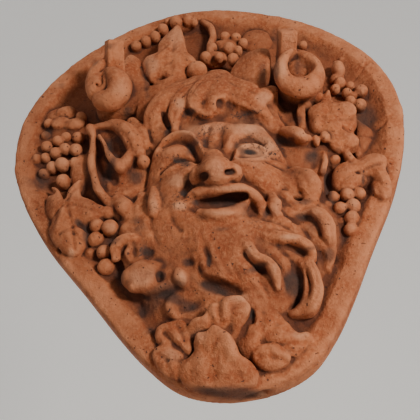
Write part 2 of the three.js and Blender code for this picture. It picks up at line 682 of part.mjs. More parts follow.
// The solid's facets as a mesh geometry, moved so that the hanging point is the origin
function geometryOf(shape) {
  const mesh = shape.getMesh();
  const kept = withoutSealedGaps(mesh.vertProperties, mesh.triVerts);
  const surface = withFewerFacets(mesh.vertProperties, kept, FACET_BUDGET);
  const points = surface.faces.filter((face) => face).flatMap((face) => face.map((k) => surface.corners[k]));
  const geometry = mergeVertices(new THREE.BufferGeometry().setFromPoints(points), 1e-5);
  geometry.translate(0, 0, -HANGING_POINT_RISE);
  geometry.computeVertexNormals();
  return geometry;
}

const plaque = new THREE.Mesh(geometryOf(plaqueSolid()), TERRACOTTA);
plaque.name = 'plaque';

const part = new THREE.Group();
part.add(plaque);

export default part;
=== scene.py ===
import math

import bpy
import numpy as np
from mathutils import Matrix, Vector


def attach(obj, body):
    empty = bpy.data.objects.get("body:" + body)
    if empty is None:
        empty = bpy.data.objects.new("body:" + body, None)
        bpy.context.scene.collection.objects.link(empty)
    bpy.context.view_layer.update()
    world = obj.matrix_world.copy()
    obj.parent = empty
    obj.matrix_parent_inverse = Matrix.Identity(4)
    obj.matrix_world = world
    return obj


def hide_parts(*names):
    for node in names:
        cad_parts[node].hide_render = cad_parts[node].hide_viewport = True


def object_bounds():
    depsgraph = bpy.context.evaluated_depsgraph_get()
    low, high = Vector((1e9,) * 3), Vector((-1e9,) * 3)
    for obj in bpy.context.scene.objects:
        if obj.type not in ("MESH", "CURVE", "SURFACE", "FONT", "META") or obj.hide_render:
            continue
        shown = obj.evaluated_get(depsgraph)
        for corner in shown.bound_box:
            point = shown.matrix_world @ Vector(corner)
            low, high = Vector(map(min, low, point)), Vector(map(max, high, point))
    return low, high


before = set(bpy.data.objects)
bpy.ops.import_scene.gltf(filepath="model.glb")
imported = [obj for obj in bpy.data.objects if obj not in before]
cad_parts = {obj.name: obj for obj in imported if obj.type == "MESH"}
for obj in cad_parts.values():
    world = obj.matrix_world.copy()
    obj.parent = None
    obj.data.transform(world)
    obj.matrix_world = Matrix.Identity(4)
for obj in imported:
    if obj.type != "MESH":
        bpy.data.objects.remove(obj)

CAD_LOW, CAD_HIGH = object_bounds()

# The plaque's own frame, in millimetres: x across, h out from the flat back, z up from the middle.
# The shared frame's origin is on the back, above the middle of the plaque.
MM = 0.001
HALF_WIDTH = 155.0
HALF_HEIGHT = 190.0
MIDDLE_Z = CAD_LOW.z / MM + HALF_HEIGHT
DEPTH = (CAD_HIGH.y - CAD_LOW.y) / MM

# Plate
OUTLINE_POINTS = 240
GROUND = 9.0
RIM = 17.0
RIM_BAND = 13.0
RIM_SLOPE = 17.0
RIM_ROUNDING = 4.0
EDGE_ROUNDING = 1.5
BACK_ROUNDING = 0.6

# Hollow back: half-sizes across, deep and up, and how far its middle is under the plaque's middle
HOLLOW = (70.0, 21.0, 90.0)
HOLLOW_DROP = 30.0

# Modelling grid and the finished mesh
CELL = 1.0
MARGIN = 4.0
FAR = 50.0
FURTHEST = 1e9
TRIANGLES = 185000

# Points on each stretch of a curve between two of its knots
PIECE_STEPS = 24

# Shares of the listed depths and radii at which leaf creases, strands and berries are made
CREASE_SHARE = 1.3
STRAND_SHARE = 0.6
BERRY_SHARE = 0.88

# Forms that stand on the ground reach down to this height over the back
ROOT = 2.0

# Depth under a berry's middle counts by this share, which draws the berry out towards the ground
BERRY_NECK = 0.62

# Half-width of a cleft as a share of its lock's, and the least half-width of a lock
CLEFT = 0.2
LEAST_LOCK = 0.4

# How far a stroke is worked out on both sides, in half-widths
STROKE_REACH = 2.6

# Leaves: how softly the height follows the rim, how far in the dome rises, and the shares by which
# distances to their faces and under them count
RIM_SOFTNESS = 4.0
DOME_REACH = 7.0
LEAF_SLANT = 0.85
LEAF_UNDERCUT = 0.8

# The camera, at the photograph's angle: below the plaque and looking up at it, a little tilted
VIEW_AZIMUTH = 1.0
VIEW_ELEVATION = -38.0
VIEW_ROLL = -8.4
VIEW_DISTANCE = 460.4
VIEW_AIM = (-6.55, 0.0, -41.7)
FOCAL_PIXELS = 620.0
PHOTO_SIDE = 420.0
SENSOR = 36.0


def view_frame():
    """Place of the camera from the plaque's middle, and its right, up and backward directions."""
    a, e, r = (math.radians(v) for v in (VIEW_AZIMUTH, VIEW_ELEVATION, VIEW_ROLL))
    back = np.array([math.sin(a) * math.cos(e), -math.cos(a) * math.cos(e), math.sin(e)])
    level = np.array([math.cos(a), math.sin(a), 0.0])
    up = np.cross(level, -back)
    right = level * math.cos(r) + up * math.sin(r)
    up = up * math.cos(r) - level * math.sin(r)
    return np.array(VIEW_AIM) + back * VIEW_DISTANCE, right, up, back


EYE, VIEW_RIGHT, VIEW_UP, VIEW_BACK = view_frame()


def shown_at(across, down, h):
    """The point (x, z, h) that the photograph shows at this pixel, h millimetres out from the back."""
    half = PHOTO_SIDE / 2
    ray = VIEW_RIGHT * (across - half) + VIEW_UP * (half - down) - VIEW_BACK * FOCAL_PIXELS
    place = EYE + ray * ((-h - EYE[1]) / ray[1])
    return (float(place[0]), float(place[2]), float(h))


# Small helpers

def soft_min(a, b, blend):
    """Smaller of two distances, with a fillet of about this size where they meet."""
    if blend <= 0:
        return np.minimum(a, b)
    near = np.clip(blend - np.abs(a - b), 0, None) / blend
    return np.minimum(a, b) - near * near * blend * 0.25


def soft_max(a, b, blend):
    """Larger of two distances, with the same fillet."""
    return -soft_min(-a, -b, blend)


def smooth(value, start, end):
    """From 0 at the start to 1 at the end, without corners."""
    t = np.clip((value - start) / (end - start), 0, 1)
    return t * t * (3 - 2 * t)


def curve_piece(p0, p1, p2, p3):
    """Points on a centripetal Catmull-Rom curve from the second of four knots to the third."""
    gaps = [np.linalg.norm(b - a) ** 0.5 for a, b in ((p0, p1), (p1, p2), (p2, p3))]
    t0, t1 = 0.0, gaps[0]
    t2 = t1 + gaps[1]
    t3 = t2 + gaps[2]
    t = np.linspace(t1, t2, PIECE_STEPS, endpoint=False)[:, None]
    a1 = (t1 - t) / (t1 - t0) * p0 + (t - t0) / (t1 - t0) * p1
    a2 = (t2 - t) / (t2 - t1) * p1 + (t - t1) / (t2 - t1) * p2
    a3 = (t3 - t) / (t3 - t2) * p2 + (t - t2) / (t3 - t2) * p3
    b1 = (t2 - t) / (t2 - t0) * a1 + (t - t0) / (t2 - t0) * a2
    b2 = (t3 - t) / (t3 - t1) * a2 + (t - t1) / (t3 - t1) * a3
    return (t2 - t) / (t2 - t1) * b1 + (t - t1) / (t2 - t1) * b2


def spline(points, count, closed=False):
    """Evenly spaced points on a smooth curve through the given ones."""
    points = np.asarray(points, float)
    if closed:
        knots = np.vstack([points[-1:], points, points[:2]])
    else:
        knots = np.vstack([2 * points[:1] - points[1:2], points, 2 * points[-1:] - points[-2:-1]])
    pieces = [curve_piece(*four) for four in zip(knots, knots[1:], knots[2:], knots[3:])]
    dense = np.vstack(pieces + [points[:1] if closed else points[-1:]])
    run = np.concatenate([[0], np.cumsum(np.linalg.norm(np.diff(dense, axis=0), axis=1))])
    at = np.linspace(0, run[-1], count)
    return np.stack([np.interp(at, run, dense[:, k]) for k in range(dense.shape[1])], axis=1)


def placed(pixels):
    """Points (x, z, h) from pixels given as (across, down, h)."""
    return [shown_at(*pixel) for pixel in pixels]


def turned(degrees):
    """Cosine and sine of an angle in degrees."""
    return math.cos(math.radians(degrees)), math.sin(math.radians(degrees))


def plan_nearest(x, z, path):
    """Distance in plan to a path of (x, z, ...), the share of its length there, and the side."""
    best = np.full(np.broadcast(x, z).shape, FURTHEST, np.float32)
    share = np.zeros_like(best)
    side = np.zeros_like(best)
    steps = len(path) - 1
    for i in range(steps):
        ax, az = path[i][0], path[i][1]
        rx, rz = path[i + 1][0] - ax, path[i + 1][1] - az
        run = rx * rx + rz * rz + 1e-9
        t = np.clip(((x - ax) * rx + (z - az) * rz) / run, 0, 1)
        dx, dz = x - ax - t * rx, z - az - t * rz
        distance = np.sqrt(dx * dx + dz * dz)
        closer = distance < best
        best = np.where(closer, distance, best)
        share = np.where(closer, (i + t) / steps, share)
        side = np.where(closer, (rx * dz - rz * dx) / math.sqrt(run), side)
    return best, share, side


def bump(dx, dz, across, up):
    """A smooth bump that is 1 at its middle."""
    return np.exp(-((dx / across) ** 2) - (dz / up) ** 2)


def ridge(x, z, path, half_width):
    """A smooth ridge that is 1 along its path."""
    distance, _, _ = plan_nearest(x, z, spline(path, 20))
    return np.exp(-((distance / half_width) ** 2))


def along(values, share):
    """Value at a share of the way through evenly spaced entries."""
    return np.interp(share, np.linspace(0, 1, len(values)), values)


# The clay: a grid of distances to its surface, negative inside

class Clay:
    """The clay of the plaque, to which forms are added and from which they are cut."""

    def __init__(self, low, high):
        self.low = np.array(low, float)
        counts = [int(math.ceil((b - a) / CELL)) + 1 for a, b in zip(low, high)]
        self.axes = [a + CELL * np.arange(n, dtype=np.float32) for a, n in zip(low, counts)]
        self.field = np.full(counts, FAR, np.float32)

    def plan(self):
        """Places of the grid's columns, across and up."""
        return self.axes[0][:, None], self.axes[2][None, :]

    def window(self, low, high):
        """The part of the grid between two corners, and the places of its cells."""
        spans = []
        for axis, a, b in zip(self.axes, low, high):
            first = max(int((a - axis[0]) / CELL) - 1, 0)
            last = min(int((b - axis[0]) / CELL) + 3, len(axis))
            spans.append(slice(first, max(last, first)))
        x, h, z = (axis[span] for axis, span in zip(self.axes, spans))
        return tuple(spans), x[:, None, None], h[None, :, None], z[None, None, :]

    def around(self, form, blend):
        """The part of the grid that a form can change, and the form's distances there."""
        low, high, distance = form
        spans, x, h, z = self.window([v - blend for v in low], [v + blend for v in high])
        return spans, distance(x, h, z)

    def add(self, form, blend):
        """Joins a form to the clay, with a fillet of about the size of the blend."""
        spans, distance = self.around(form, blend)
        self.field[spans] = soft_min(self.field[spans], distance, blend)

    def cut(self, form, blend):
        """Takes a form out of the clay, its rim rounded by about the blend."""
        spans, distance = self.around(form, blend)
        self.field[spans] = soft_max(self.field[spans], -distance, blend)

    def stroke(self, pixels, level, amount, half_width):
        """Presses the surface in along a line of the photograph's pixels, or draws it out if negative."""
        curve = spline(placed([(*pixel, level) for pixel in pixels]), 16)
        reach = STROKE_REACH * half_width
        lows, highs = curve.min(axis=0) - reach, curve.max(axis=0) + reach
        spans, x, h, z = self.window((lows[0], ROOT, lows[1]), (highs[0], DEPTH + MARGIN, highs[1]))
        off, at, _ = plan_nearest(x[:, 0], z[:, 0], curve[:, :2])
        fade = smooth(at, -0.1, 0.25) * (1 - smooth(at, 0.75, 1.1))
        press = amount * np.exp(-((off / half_width) ** 2)) * fade
        self.field[spans] += press[:, None, :].astype(np.float32)


# Forms: each is its lowest corner, its highest corner and its distance function.
# Their paths and outlines are given as the photograph shows them: pixel across, pixel down, h

def egg(x0, z0, h0, across, up, out, turn=0.0):
    """An egg by its middle and half-sizes in the plaque's own frame, turned in plan."""
    c, s = turned(turn)
    reach = max(across, up)
    least = min(across, up, out)

    def distance(x, h, z):
        u = ((x - x0) * c + (z - z0) * s) / across
        v = ((z - z0) * c - (x - x0) * s) / up
        w = (h - h0) / out
        length = np.sqrt(u * u + v * v + w * w)
        return (length - 1) * least

    return (x0 - reach, h0 - out, z0 - reach), (x0 + reach, h0 + out, z0 + reach), distance


def lump(across, down, h, *sizes):
    """An egg whose middle is given as the photograph shows it."""
    return egg(*shown_at(across, down, h), *sizes)


def berry(x0, z0, h0, radius):
    """A berry on a neck that reaches down to the ground."""
    def distance(x, h, z):
        dx, dz = x - x0, z - z0
        dh = h - h0
        dh = np.where(dh > 0, dh, dh * BERRY_NECK)
        return np.sqrt(dx * dx + dz * dz + dh * dh) - radius

    reach = radius + 0.5
    low = (x0 - reach, ROOT, z0 - reach)
    return low, (x0 + reach, h0 + reach, z0 + reach), distance


def lock(path, widths, share=0.8, grooves=(), groove=0.9, under=0.3, steps=28):
    """A lock of hair or a roll of clay laid on the ground along a path, cleft along its grooves."""
    curve = spline(placed(path), steps)
    widest = max(widths)

    def distance(x, h, z):
        off, at, side = plan_nearest(x[:, 0], z[:, 0], curve[:, :2])
        radius = np.maximum(along(widths, at), LEAST_LOCK)
        height = along(curve[:, 2], at)
        for place in grooves:
            cleft = np.exp(-(((side / radius - place) / CLEFT) ** 2))
            fade = smooth(at, 0.02, 0.2) * (1 - smooth(at, 0.85, 1.0))
            height = height - cleft * fade * groove
        dh = h - height[:, None, :]
        dh = np.where(dh > 0, dh / share, dh * under)
        whole = np.sqrt(off[:, None, :] ** 2 + dh * dh) - radius[:, None, :]
        return whole * share

    lows = curve.min(axis=0) - widest
    highs = curve.max(axis=0) + widest
    return (lows[0], ROOT, lows[1]), (highs[0], highs[2], highs[1]), distance


def roll(path, widths, steps=40):
    """A tapering roll along a path, which may stand clear of the ground."""
    curve = spline(placed(path), steps)
    radii = along(widths, np.linspace(0, 1, steps))

    def distance(x, h, z):
        best = np.full(np.broadcast(x, h, z).shape, FURTHEST, np.float32)
        for i in range(steps - 1):
            a, run = curve[i], curve[i + 1] - curve[i]
            t = ((x - a[0]) * run[0] + (z - a[1]) * run[1] + (h - a[2]) * run[2]) / (run @ run)
            t = np.clip(t, 0, 1)
            dx, dz, dh = x - a[0] - t * run[0], z - a[1] - t * run[1], h - a[2] - t * run[2]
            radius = radii[i] + t * (radii[i + 1] - radii[i])
            best = np.minimum(best, np.sqrt(dx * dx + dz * dz + dh * dh) - radius)
        return best

    lows = curve.min(axis=0) - max(widths)
    highs = curve.max(axis=0) + max(widths)
    return (lows[0], lows[2], lows[1]), (highs[0], highs[2], highs[1]), distance


def bar(start, end, half_across, half_deep, turn=0.0, edge=1.8):
    """A squared strut from one point to another, turned about its length, its edges rounded."""
    a, b = np.array(placed([start, end]), float)
    length = np.linalg.norm(b - a)
    way = (b - a) / length
    deep = np.array([0.0, 0.0, 1.0]) - way * way[2]
    deep /= np.linalg.norm(deep)
    aside = np.cross(way, deep)
    c, s = turned(turn)
    deep, aside = deep * c + aside * s, aside * c - deep * s
    sides = ((way, length / 2, length / 2), (aside, half_across, 0), (deep, half_deep, 0))

    def distance(x, h, z):
        dx, dz, dh = x - a[0], z - a[1], h - a[2]
        parts = []
        for axis, half, middle in sides:
            place = dx * axis[0] + dz * axis[1] + dh * axis[2] - middle
            parts.append(np.abs(place) - half + edge)
        outside = np.sqrt(sum(np.clip(p, 0, None) ** 2 for p in parts))
        inside = np.clip(np.maximum(np.maximum(parts[0], parts[1]), parts[2]), None, 0)
        return outside + inside - edge

    reach = half_across + half_deep
    lows, highs = np.minimum(a, b) - reach, np.maximum(a, b) + reach
    return (lows[0], lows[2], lows[1]), (highs[0], highs[2], highs[1]), distance


def sheet(outline, thick=4.0, dome=3.0, creases=(), soft=2.0, tuck=4.0):
    """A leaf or flap over an outline: pillowed, creased, its edge standing clear of the ground."""
    rim = spline(placed(outline), 8 * len(outline), closed=True)
    level = rim[:, 2].mean() + dome

    def top_and_inside(x, z):
        weight_sum = 0.0
        height = 0.0
        for px, pz, ph in rim:
            weight = 1 / ((x - px) ** 2 + (z - pz) ** 2 + RIM_SOFTNESS)
            weight_sum = weight_sum + weight
            height = height + weight * ph
        inner = inside_distance(x, z, rim[:, :2])
        top = height / weight_sum + dome * (1 - np.exp(-np.clip(inner, 0, None) / DOME_REACH))
        for deep, half_width, *path in creases:
            line = spline([shown_at(*pixel, level)[:2] for pixel in path], 12)
            off, _, _ = plan_nearest(x, z, line)
            top = top - CREASE_SHARE * deep * np.exp(-((off / half_width) ** 2))
        return top, inner

    def distance(x, h, z):
        top, inner = top_and_inside(x[:, 0], z[:, 0])
        below = top[:, None, :] - h
        under = np.clip((below - thick) * LEAF_UNDERCUT, 0, tuck)
        return soft_max(-below * LEAF_SLANT, (under - inner[:, None, :]) * LEAF_SLANT, soft)

    lows, highs = rim.min(axis=0) - 1, rim.max(axis=0) + 1
    return (lows[0], ROOT, lows[1]), (highs[0], highs[2] + dome + 1, highs[1]), distance


# The plate

def outline():
    """Rounded-shield outline: the right half as shares of half width and half height, mirrored."""
    right = [
        (0.26, 0.935), (0.52, 0.83), (0.78, 0.645), (0.955, 0.41), (1, 0.17),
        (0.965, -0.01), (0.84, -0.265), (0.64, -0.53), (0.39, -0.84), (0.24, -0.955),
    ]
    left = [(-across, up) for across, up in reversed(right)]
    shares = np.array([(0, 0.975), *right, (0, -1.0), *left])
    return spline(shares * (HALF_WIDTH, HALF_HEIGHT), OUTLINE_POINTS, closed=True)


def inside_distance(x, z, points):
    """Distance from a closed outline, positive inside it."""
    distance, _, _ = plan_nearest(x, z, points)
    inside = np.zeros(distance.shape, bool)
    for (ax, az), (bx, bz) in zip(points[:-1], points[1:]):
        crosses = ((az > z) != (bz > z)) & (x < (bx - ax) * (z - az) / (bz - az + 1e-12) + ax)
        inside ^= crosses
    return np.where(inside, distance, -distance)


def plate_height(edge):
    """The plate's profile: rounded edge, flat rim, slope and ground."""
    t = np.clip(edge / RIM_ROUNDING, 0, 1)
    lip = RIM - RIM_ROUNDING + RIM_ROUNDING * np.sqrt(1 - (1 - t) ** 2)
    slope = np.sin(np.clip((edge - RIM_BAND) / RIM_SLOPE, 0, 1) * math.pi / 2)
    return lip + (GROUND - RIM) * slope


def mound(x, z, x0, z0, across, up, top, base=6.0):
    """Height of the upper half of an egg over its base."""
    left = np.clip(1 - ((x - x0) / across) ** 2 - ((z - z0) / up) ** 2, 0, None)
    return base + (top - base) * np.sqrt(left)


# Broad masses of the head and beard: middle across and up, half-sizes across and up, height
MASSES = (
    (0, 26, 70, 58, 35), (-66, -4, 34, 56, 23), (67, -12, 34, 60, 23), (2, -74, 86, 54, 28),
    (0, -122, 60, 52, 27),
)

# The face: how far its middle is to the right, and the height at which its pixels are placed
FACE_MIDDLE = 2.5
FACE_LEVEL = 37.0

# The oval in which it is carved: height of its middle, half-sizes, and the shares at which it fades
OVAL_MIDDLE = -32
OVAL_HALF = (56, 66)
OVAL_FADE = (0.86, 1.0)

# The face's ridges and furrows: rise in millimetres, half-width, then pixels across and down
FACE_RIDGES = (
    (5.0, 3.6, (203, 154), (198, 145), (190, 136), (180, 132), (169, 133), (160, 140), (155, 150)),
    (-5.0, 3.0, (199, 162), (194, 151), (186, 141), (174, 138), (163, 142)),
    (-4.5, 2.0, (161, 168), (170, 163), (181, 158.5), (192, 160), (198, 162)),
    (1.4, 1.8, (162, 172), (174, 168), (186, 164), (197, 166)),
    (4.5, 6.5, (229, 148), (234, 136), (243, 127), (255, 126), (267, 134), (274, 144)),
    (-3.2, 2.8, (230, 160), (234, 147), (242, 139), (253, 137.5), (262, 142)),
    (2.4, 1.7, (234, 160), (239, 150), (247, 145), (257, 144), (266, 149)),
    (1.8, 1.7, (236, 161), (246, 161.5), (257, 159), (268, 154)), (-1.4, 1.3, (269, 150), (283, 143)),
    (-1.4, 1.3, (270, 154), (285, 153)), (-1.2, 1.3, (266, 160), (282, 163)),
    (-1.8, 2.0, (205, 148), (207, 138), (211, 128)), (-1.4, 2.0, (221, 146), (222, 134), (225, 124)),
    (-1.0, 2.0, (196, 122), (214, 118), (234, 120)), (1.5, 4.0, (200, 128), (214, 124), (228, 127)),
    (-3.2, 2.6, (189, 186), (184, 193), (184, 202)),
    (-3.0, 2.6, (243, 181), (257, 188), (267, 201), (269, 216)), (-1.6, 2.0, (215, 180), (215, 184)),
    (1.5, 3.0, (232, 165), (246, 167), (262, 166)),
)

# Its bumps and hollows: rise, pixel across, pixel down, half-sizes across and up
FACE_BUMPS = (
    (6.0, 169, 152, 11, 8.5), (1.8, 251, 152, 7.0, 4.2), (-2.4, 250, 152, 3.8, 2.0),
    (6.0, 178, 184, 13, 12), (6.5, 263, 176, 17, 14), (3.0, 215, 128, 20, 10), (-4.0, 222, 152, 5, 9),
    (-3.0, 206, 160, 4, 6), (2.5, 168, 166, 8, 6), (2.0, 264, 143, 8, 5), (2.0, 243, 168, 10, 6),
    (2.0, 190, 172, 6, 6),
)


def face_height(x, z):
    """Height of the face over the back: forehead, brows, eyes, cheeks and the flesh round the mouth."""
    h = mound(x - FACE_MIDDLE, z, 0, -30, 60, 76, 38, 12)
    for rise, half_width, *pixels in FACE_RIDGES:
        path = [shown_at(*pixel, FACE_LEVEL)[:2] for pixel in pixels]
        h = h + rise * ridge(x, z, path, half_width)
    for rise, across, down, half_x, half_z in FACE_BUMPS:
        x0, z0, _ = shown_at(across, down, FACE_LEVEL)
        h = h + rise * bump(x - x0, z - z0, half_x, half_z)
    return h


def ground_height(x, z, edge):
    """Everything that is one height over the back: plate, head, face and the bed of the beard."""
    h = plate_height(edge)
    for mass in MASSES:
        h = soft_max(h, mound(x, z, *mass), 5.0)
    across = (x - FACE_MIDDLE) / OVAL_HALF[0]
    up = (z - OVAL_MIDDLE) / OVAL_HALF[1]
    on_face = 1 - smooth(np.sqrt(across ** 2 + up ** 2), *OVAL_FADE)
    face = face_height(x, z) * on_face + (h - 6) * (1 - on_face)
    return soft_max(h, face, 2.5)


def start_clay(clay, points):
    """Fills the clay up to the height of the ground; returns each column's distance from the edge."""
    x, z = clay.plan()
    edge = inside_distance(x, z, points)
    height = ground_height(x, z, edge).astype(np.float32)
    slope_x, slope_z = np.gradient(height, CELL)
    steep = np.sqrt(1 + np.clip(slope_x ** 2 + slope_z ** 2, 0, 9))
    h = clay.axes[1][None, :, None]
    clay.field = ((h - height[:, None, :]) / steep[:, None, :]).astype(np.float32)
    return edge


def finish_clay(clay, edge):
    """Trims the side wall and the flat back, and hollows the back."""
    h = clay.axes[1][None, :, None]
    clay.field = soft_max(clay.field, -edge[:, None, :], EDGE_ROUNDING)
    clay.field = soft_max(clay.field, -h + np.zeros_like(clay.field), BACK_ROUNDING)
    clay.cut(egg(0, -HOLLOW_DROP, 0, HOLLOW[0], HOLLOW[2], HOLLOW[1]), EDGE_ROUNDING)


# The carving

def add_head(clay):
    """Beds that the hair and the beard lie on."""
    for form in (
        sheet([(147, 88, 24), (170, 83, 30), (200, 76, 33), (217, 74, 34), (240, 80, 33), (262, 88, 34),
            (275, 100, 30), (280, 120, 27), (272, 128, 29), (250, 118, 33), (225, 110, 36), (200, 114, 36),
            (178, 122, 33), (158, 132, 29), (146, 128, 25), (143, 105, 22)], 30, 6),
        sheet([(196, 220, 33), (225, 226, 35), (262, 224, 34), (290, 228, 31), (304, 240, 29),
            (308, 262, 28), (304, 290, 26), (288, 305, 25), (262, 312, 25), (246, 298, 28), (230, 286, 31),
            (214, 270, 32), (204, 252, 32), (196, 236, 32)], 30, 2),
        sheet([(128, 236, 22), (150, 220, 26), (176, 214, 31), (196, 222, 33), (204, 250, 31),
            (206, 280, 26), (186, 296, 21), (160, 296, 20), (142, 284, 21), (128, 262, 21)], 24, 2),
        sheet([(150, 190, 20), (172, 196, 30), (196, 215, 33), (225, 222, 34), (255, 216, 32),
            (285, 200, 26), (318, 190, 17), (332, 215, 15), (335, 250, 14), (322, 285, 14), (300, 312, 14),
            (262, 318, 16), (220, 312, 17), (180, 312, 16), (145, 300, 14), (118, 275, 13), (112, 245, 14),
            (122, 215, 15)], 30, 8, tuck=0),
    ):
        clay.add(form, 6)


def add_hair(clay):
    """The forehead hair: locks combed to both sides and the curls in the middle."""
    hair = dict(share=0.5, groove=0.45, under=0.12)
    for form in (
        lock([(196, 84, 34), (178, 92, 37), (162, 104, 37), (152, 120, 35), (150, 134, 29)],
            [8, 10, 10, 8.5, 4], grooves=[-0.3], **hair),
        lock([(200, 84, 36), (187, 95, 39), (177, 107, 40), (173, 118, 39), (174, 128, 35)],
            [8, 9, 8, 6, 3], grooves=[0.2], **hair),
        lock([(214, 78, 37), (205, 86, 42), (198, 95, 44), (196, 104, 44), (202, 111, 41)],
            [8, 8.5, 8, 7, 3.5], **hair),
        lock([(219, 78, 37), (220, 87, 42), (217, 96, 44), (212, 104, 44), (209, 112, 41)],
            [8, 9, 8.5, 7, 4], **hair),
        lock([(222, 80, 36), (233, 87, 40), (247, 92, 41), (260, 95, 40), (271, 91, 37)],
            [9, 10, 10, 9, 5.5], grooves=[0.35], **hair),
        lock([(224, 88, 38), (236, 96, 40), (248, 102, 40), (261, 109, 38), (270, 117, 34)],
            [7, 7, 6.5, 5.5, 2.5], **hair),
        lock([(262, 120, 28), (275, 124, 27), (284, 132, 24)], [6, 7, 4], grooves=[0], **hair),
        lock([(146, 96, 26), (144, 112, 25), (147, 128, 23)], [5, 6, 4], **hair),
        lock([(186, 84, 29), (174, 84, 29), (162, 89, 27)], [5, 5, 3], **hair),
        lump(197, 71, 29, 8.5, 8.5, 8), lock([(182, 78, 25), (170, 83, 27), (158, 84, 23)], [5, 6, 4], 0.8),
    ):
        clay.add(form, 2.5)
    clay.cut(lump(221, 104, 43, 4, 4, 4), 2.5)
    clay.cut(lump(163, 79, 24, 2.5, 4, 6), 2.5)


def add_face(clay):
    """Nose, lips and chin in the round."""
    for form, blend in (
        (lock([(213, 158.5, 38), (214, 163, 43), (215, 167, 49), (216, 170, 52)], [7.5, 8.5, 9.5, 10.5],
            0.9, under=0.1), 6),
        (lump(216, 170, 50, 10, 8.5, 9.5), 3), (lump(199, 177, 43, 7, 7.5, 8, -15), 3),
        (lump(233, 174, 43, 6.5, 6.5, 8, 10), 3),
        (lock([(191, 203, 36), (191, 196, 39), (199, 191, 42), (213, 189, 44), (228, 188, 44),
            (242, 188, 43), (252, 193, 40), (260, 202, 37), (262, 214, 33)],
            [3.2, 3.8, 3.6, 3.6, 3.6, 3.6, 3.8, 3.8, 2.0], 0.8, under=0.1), 1.6),
        (lock([(200, 212, 37), (212, 213, 41), (226, 211.5, 42), (239, 207.5, 40), (248, 201, 36)],
            [2.6, 3.8, 4.0, 3.6, 2.4], 0.8, under=0.1), 1.8),
        (lump(224, 224, 31, 13, 7, 8), 6), (lump(180, 207, 34, 6.5, 5, 5), 3),
        (lock([(173, 200, 33), (184, 200, 34), (190, 208, 33)], [3, 4, 3], 0.7), 3),
    ):
        clay.add(form, blend)


def cut_mouth(clay):
    """The open mouth, in four layers from the lips inwards, and the nostrils."""
    lips = ((202, 204), (213, 203), (226, 200), (238, 197), (246, 195.5))
    for level, wider in ((46, 0.6), (42, 0), (38, 0.2), (34.5, 0.4)):
        path = [(*pixel, level) for pixel in lips]
        widths = [width + wider for width in (2.4, 3.6, 4.0, 3.8, 2.6)]
        clay.cut(roll(path, widths, 12), 1.0)
    for across, down in ((200.5, 178), (204.5, 176)):
        clay.cut(roll([(across, down, 58), (across, down, 49)], [2.6, 2.2], 4), 2.0)
    for across in (227.5, 232.5):
        clay.cut(roll([(across, 172.5, 58), (across, 172, 49)], [2.1, 2.0], 4), 1.6)


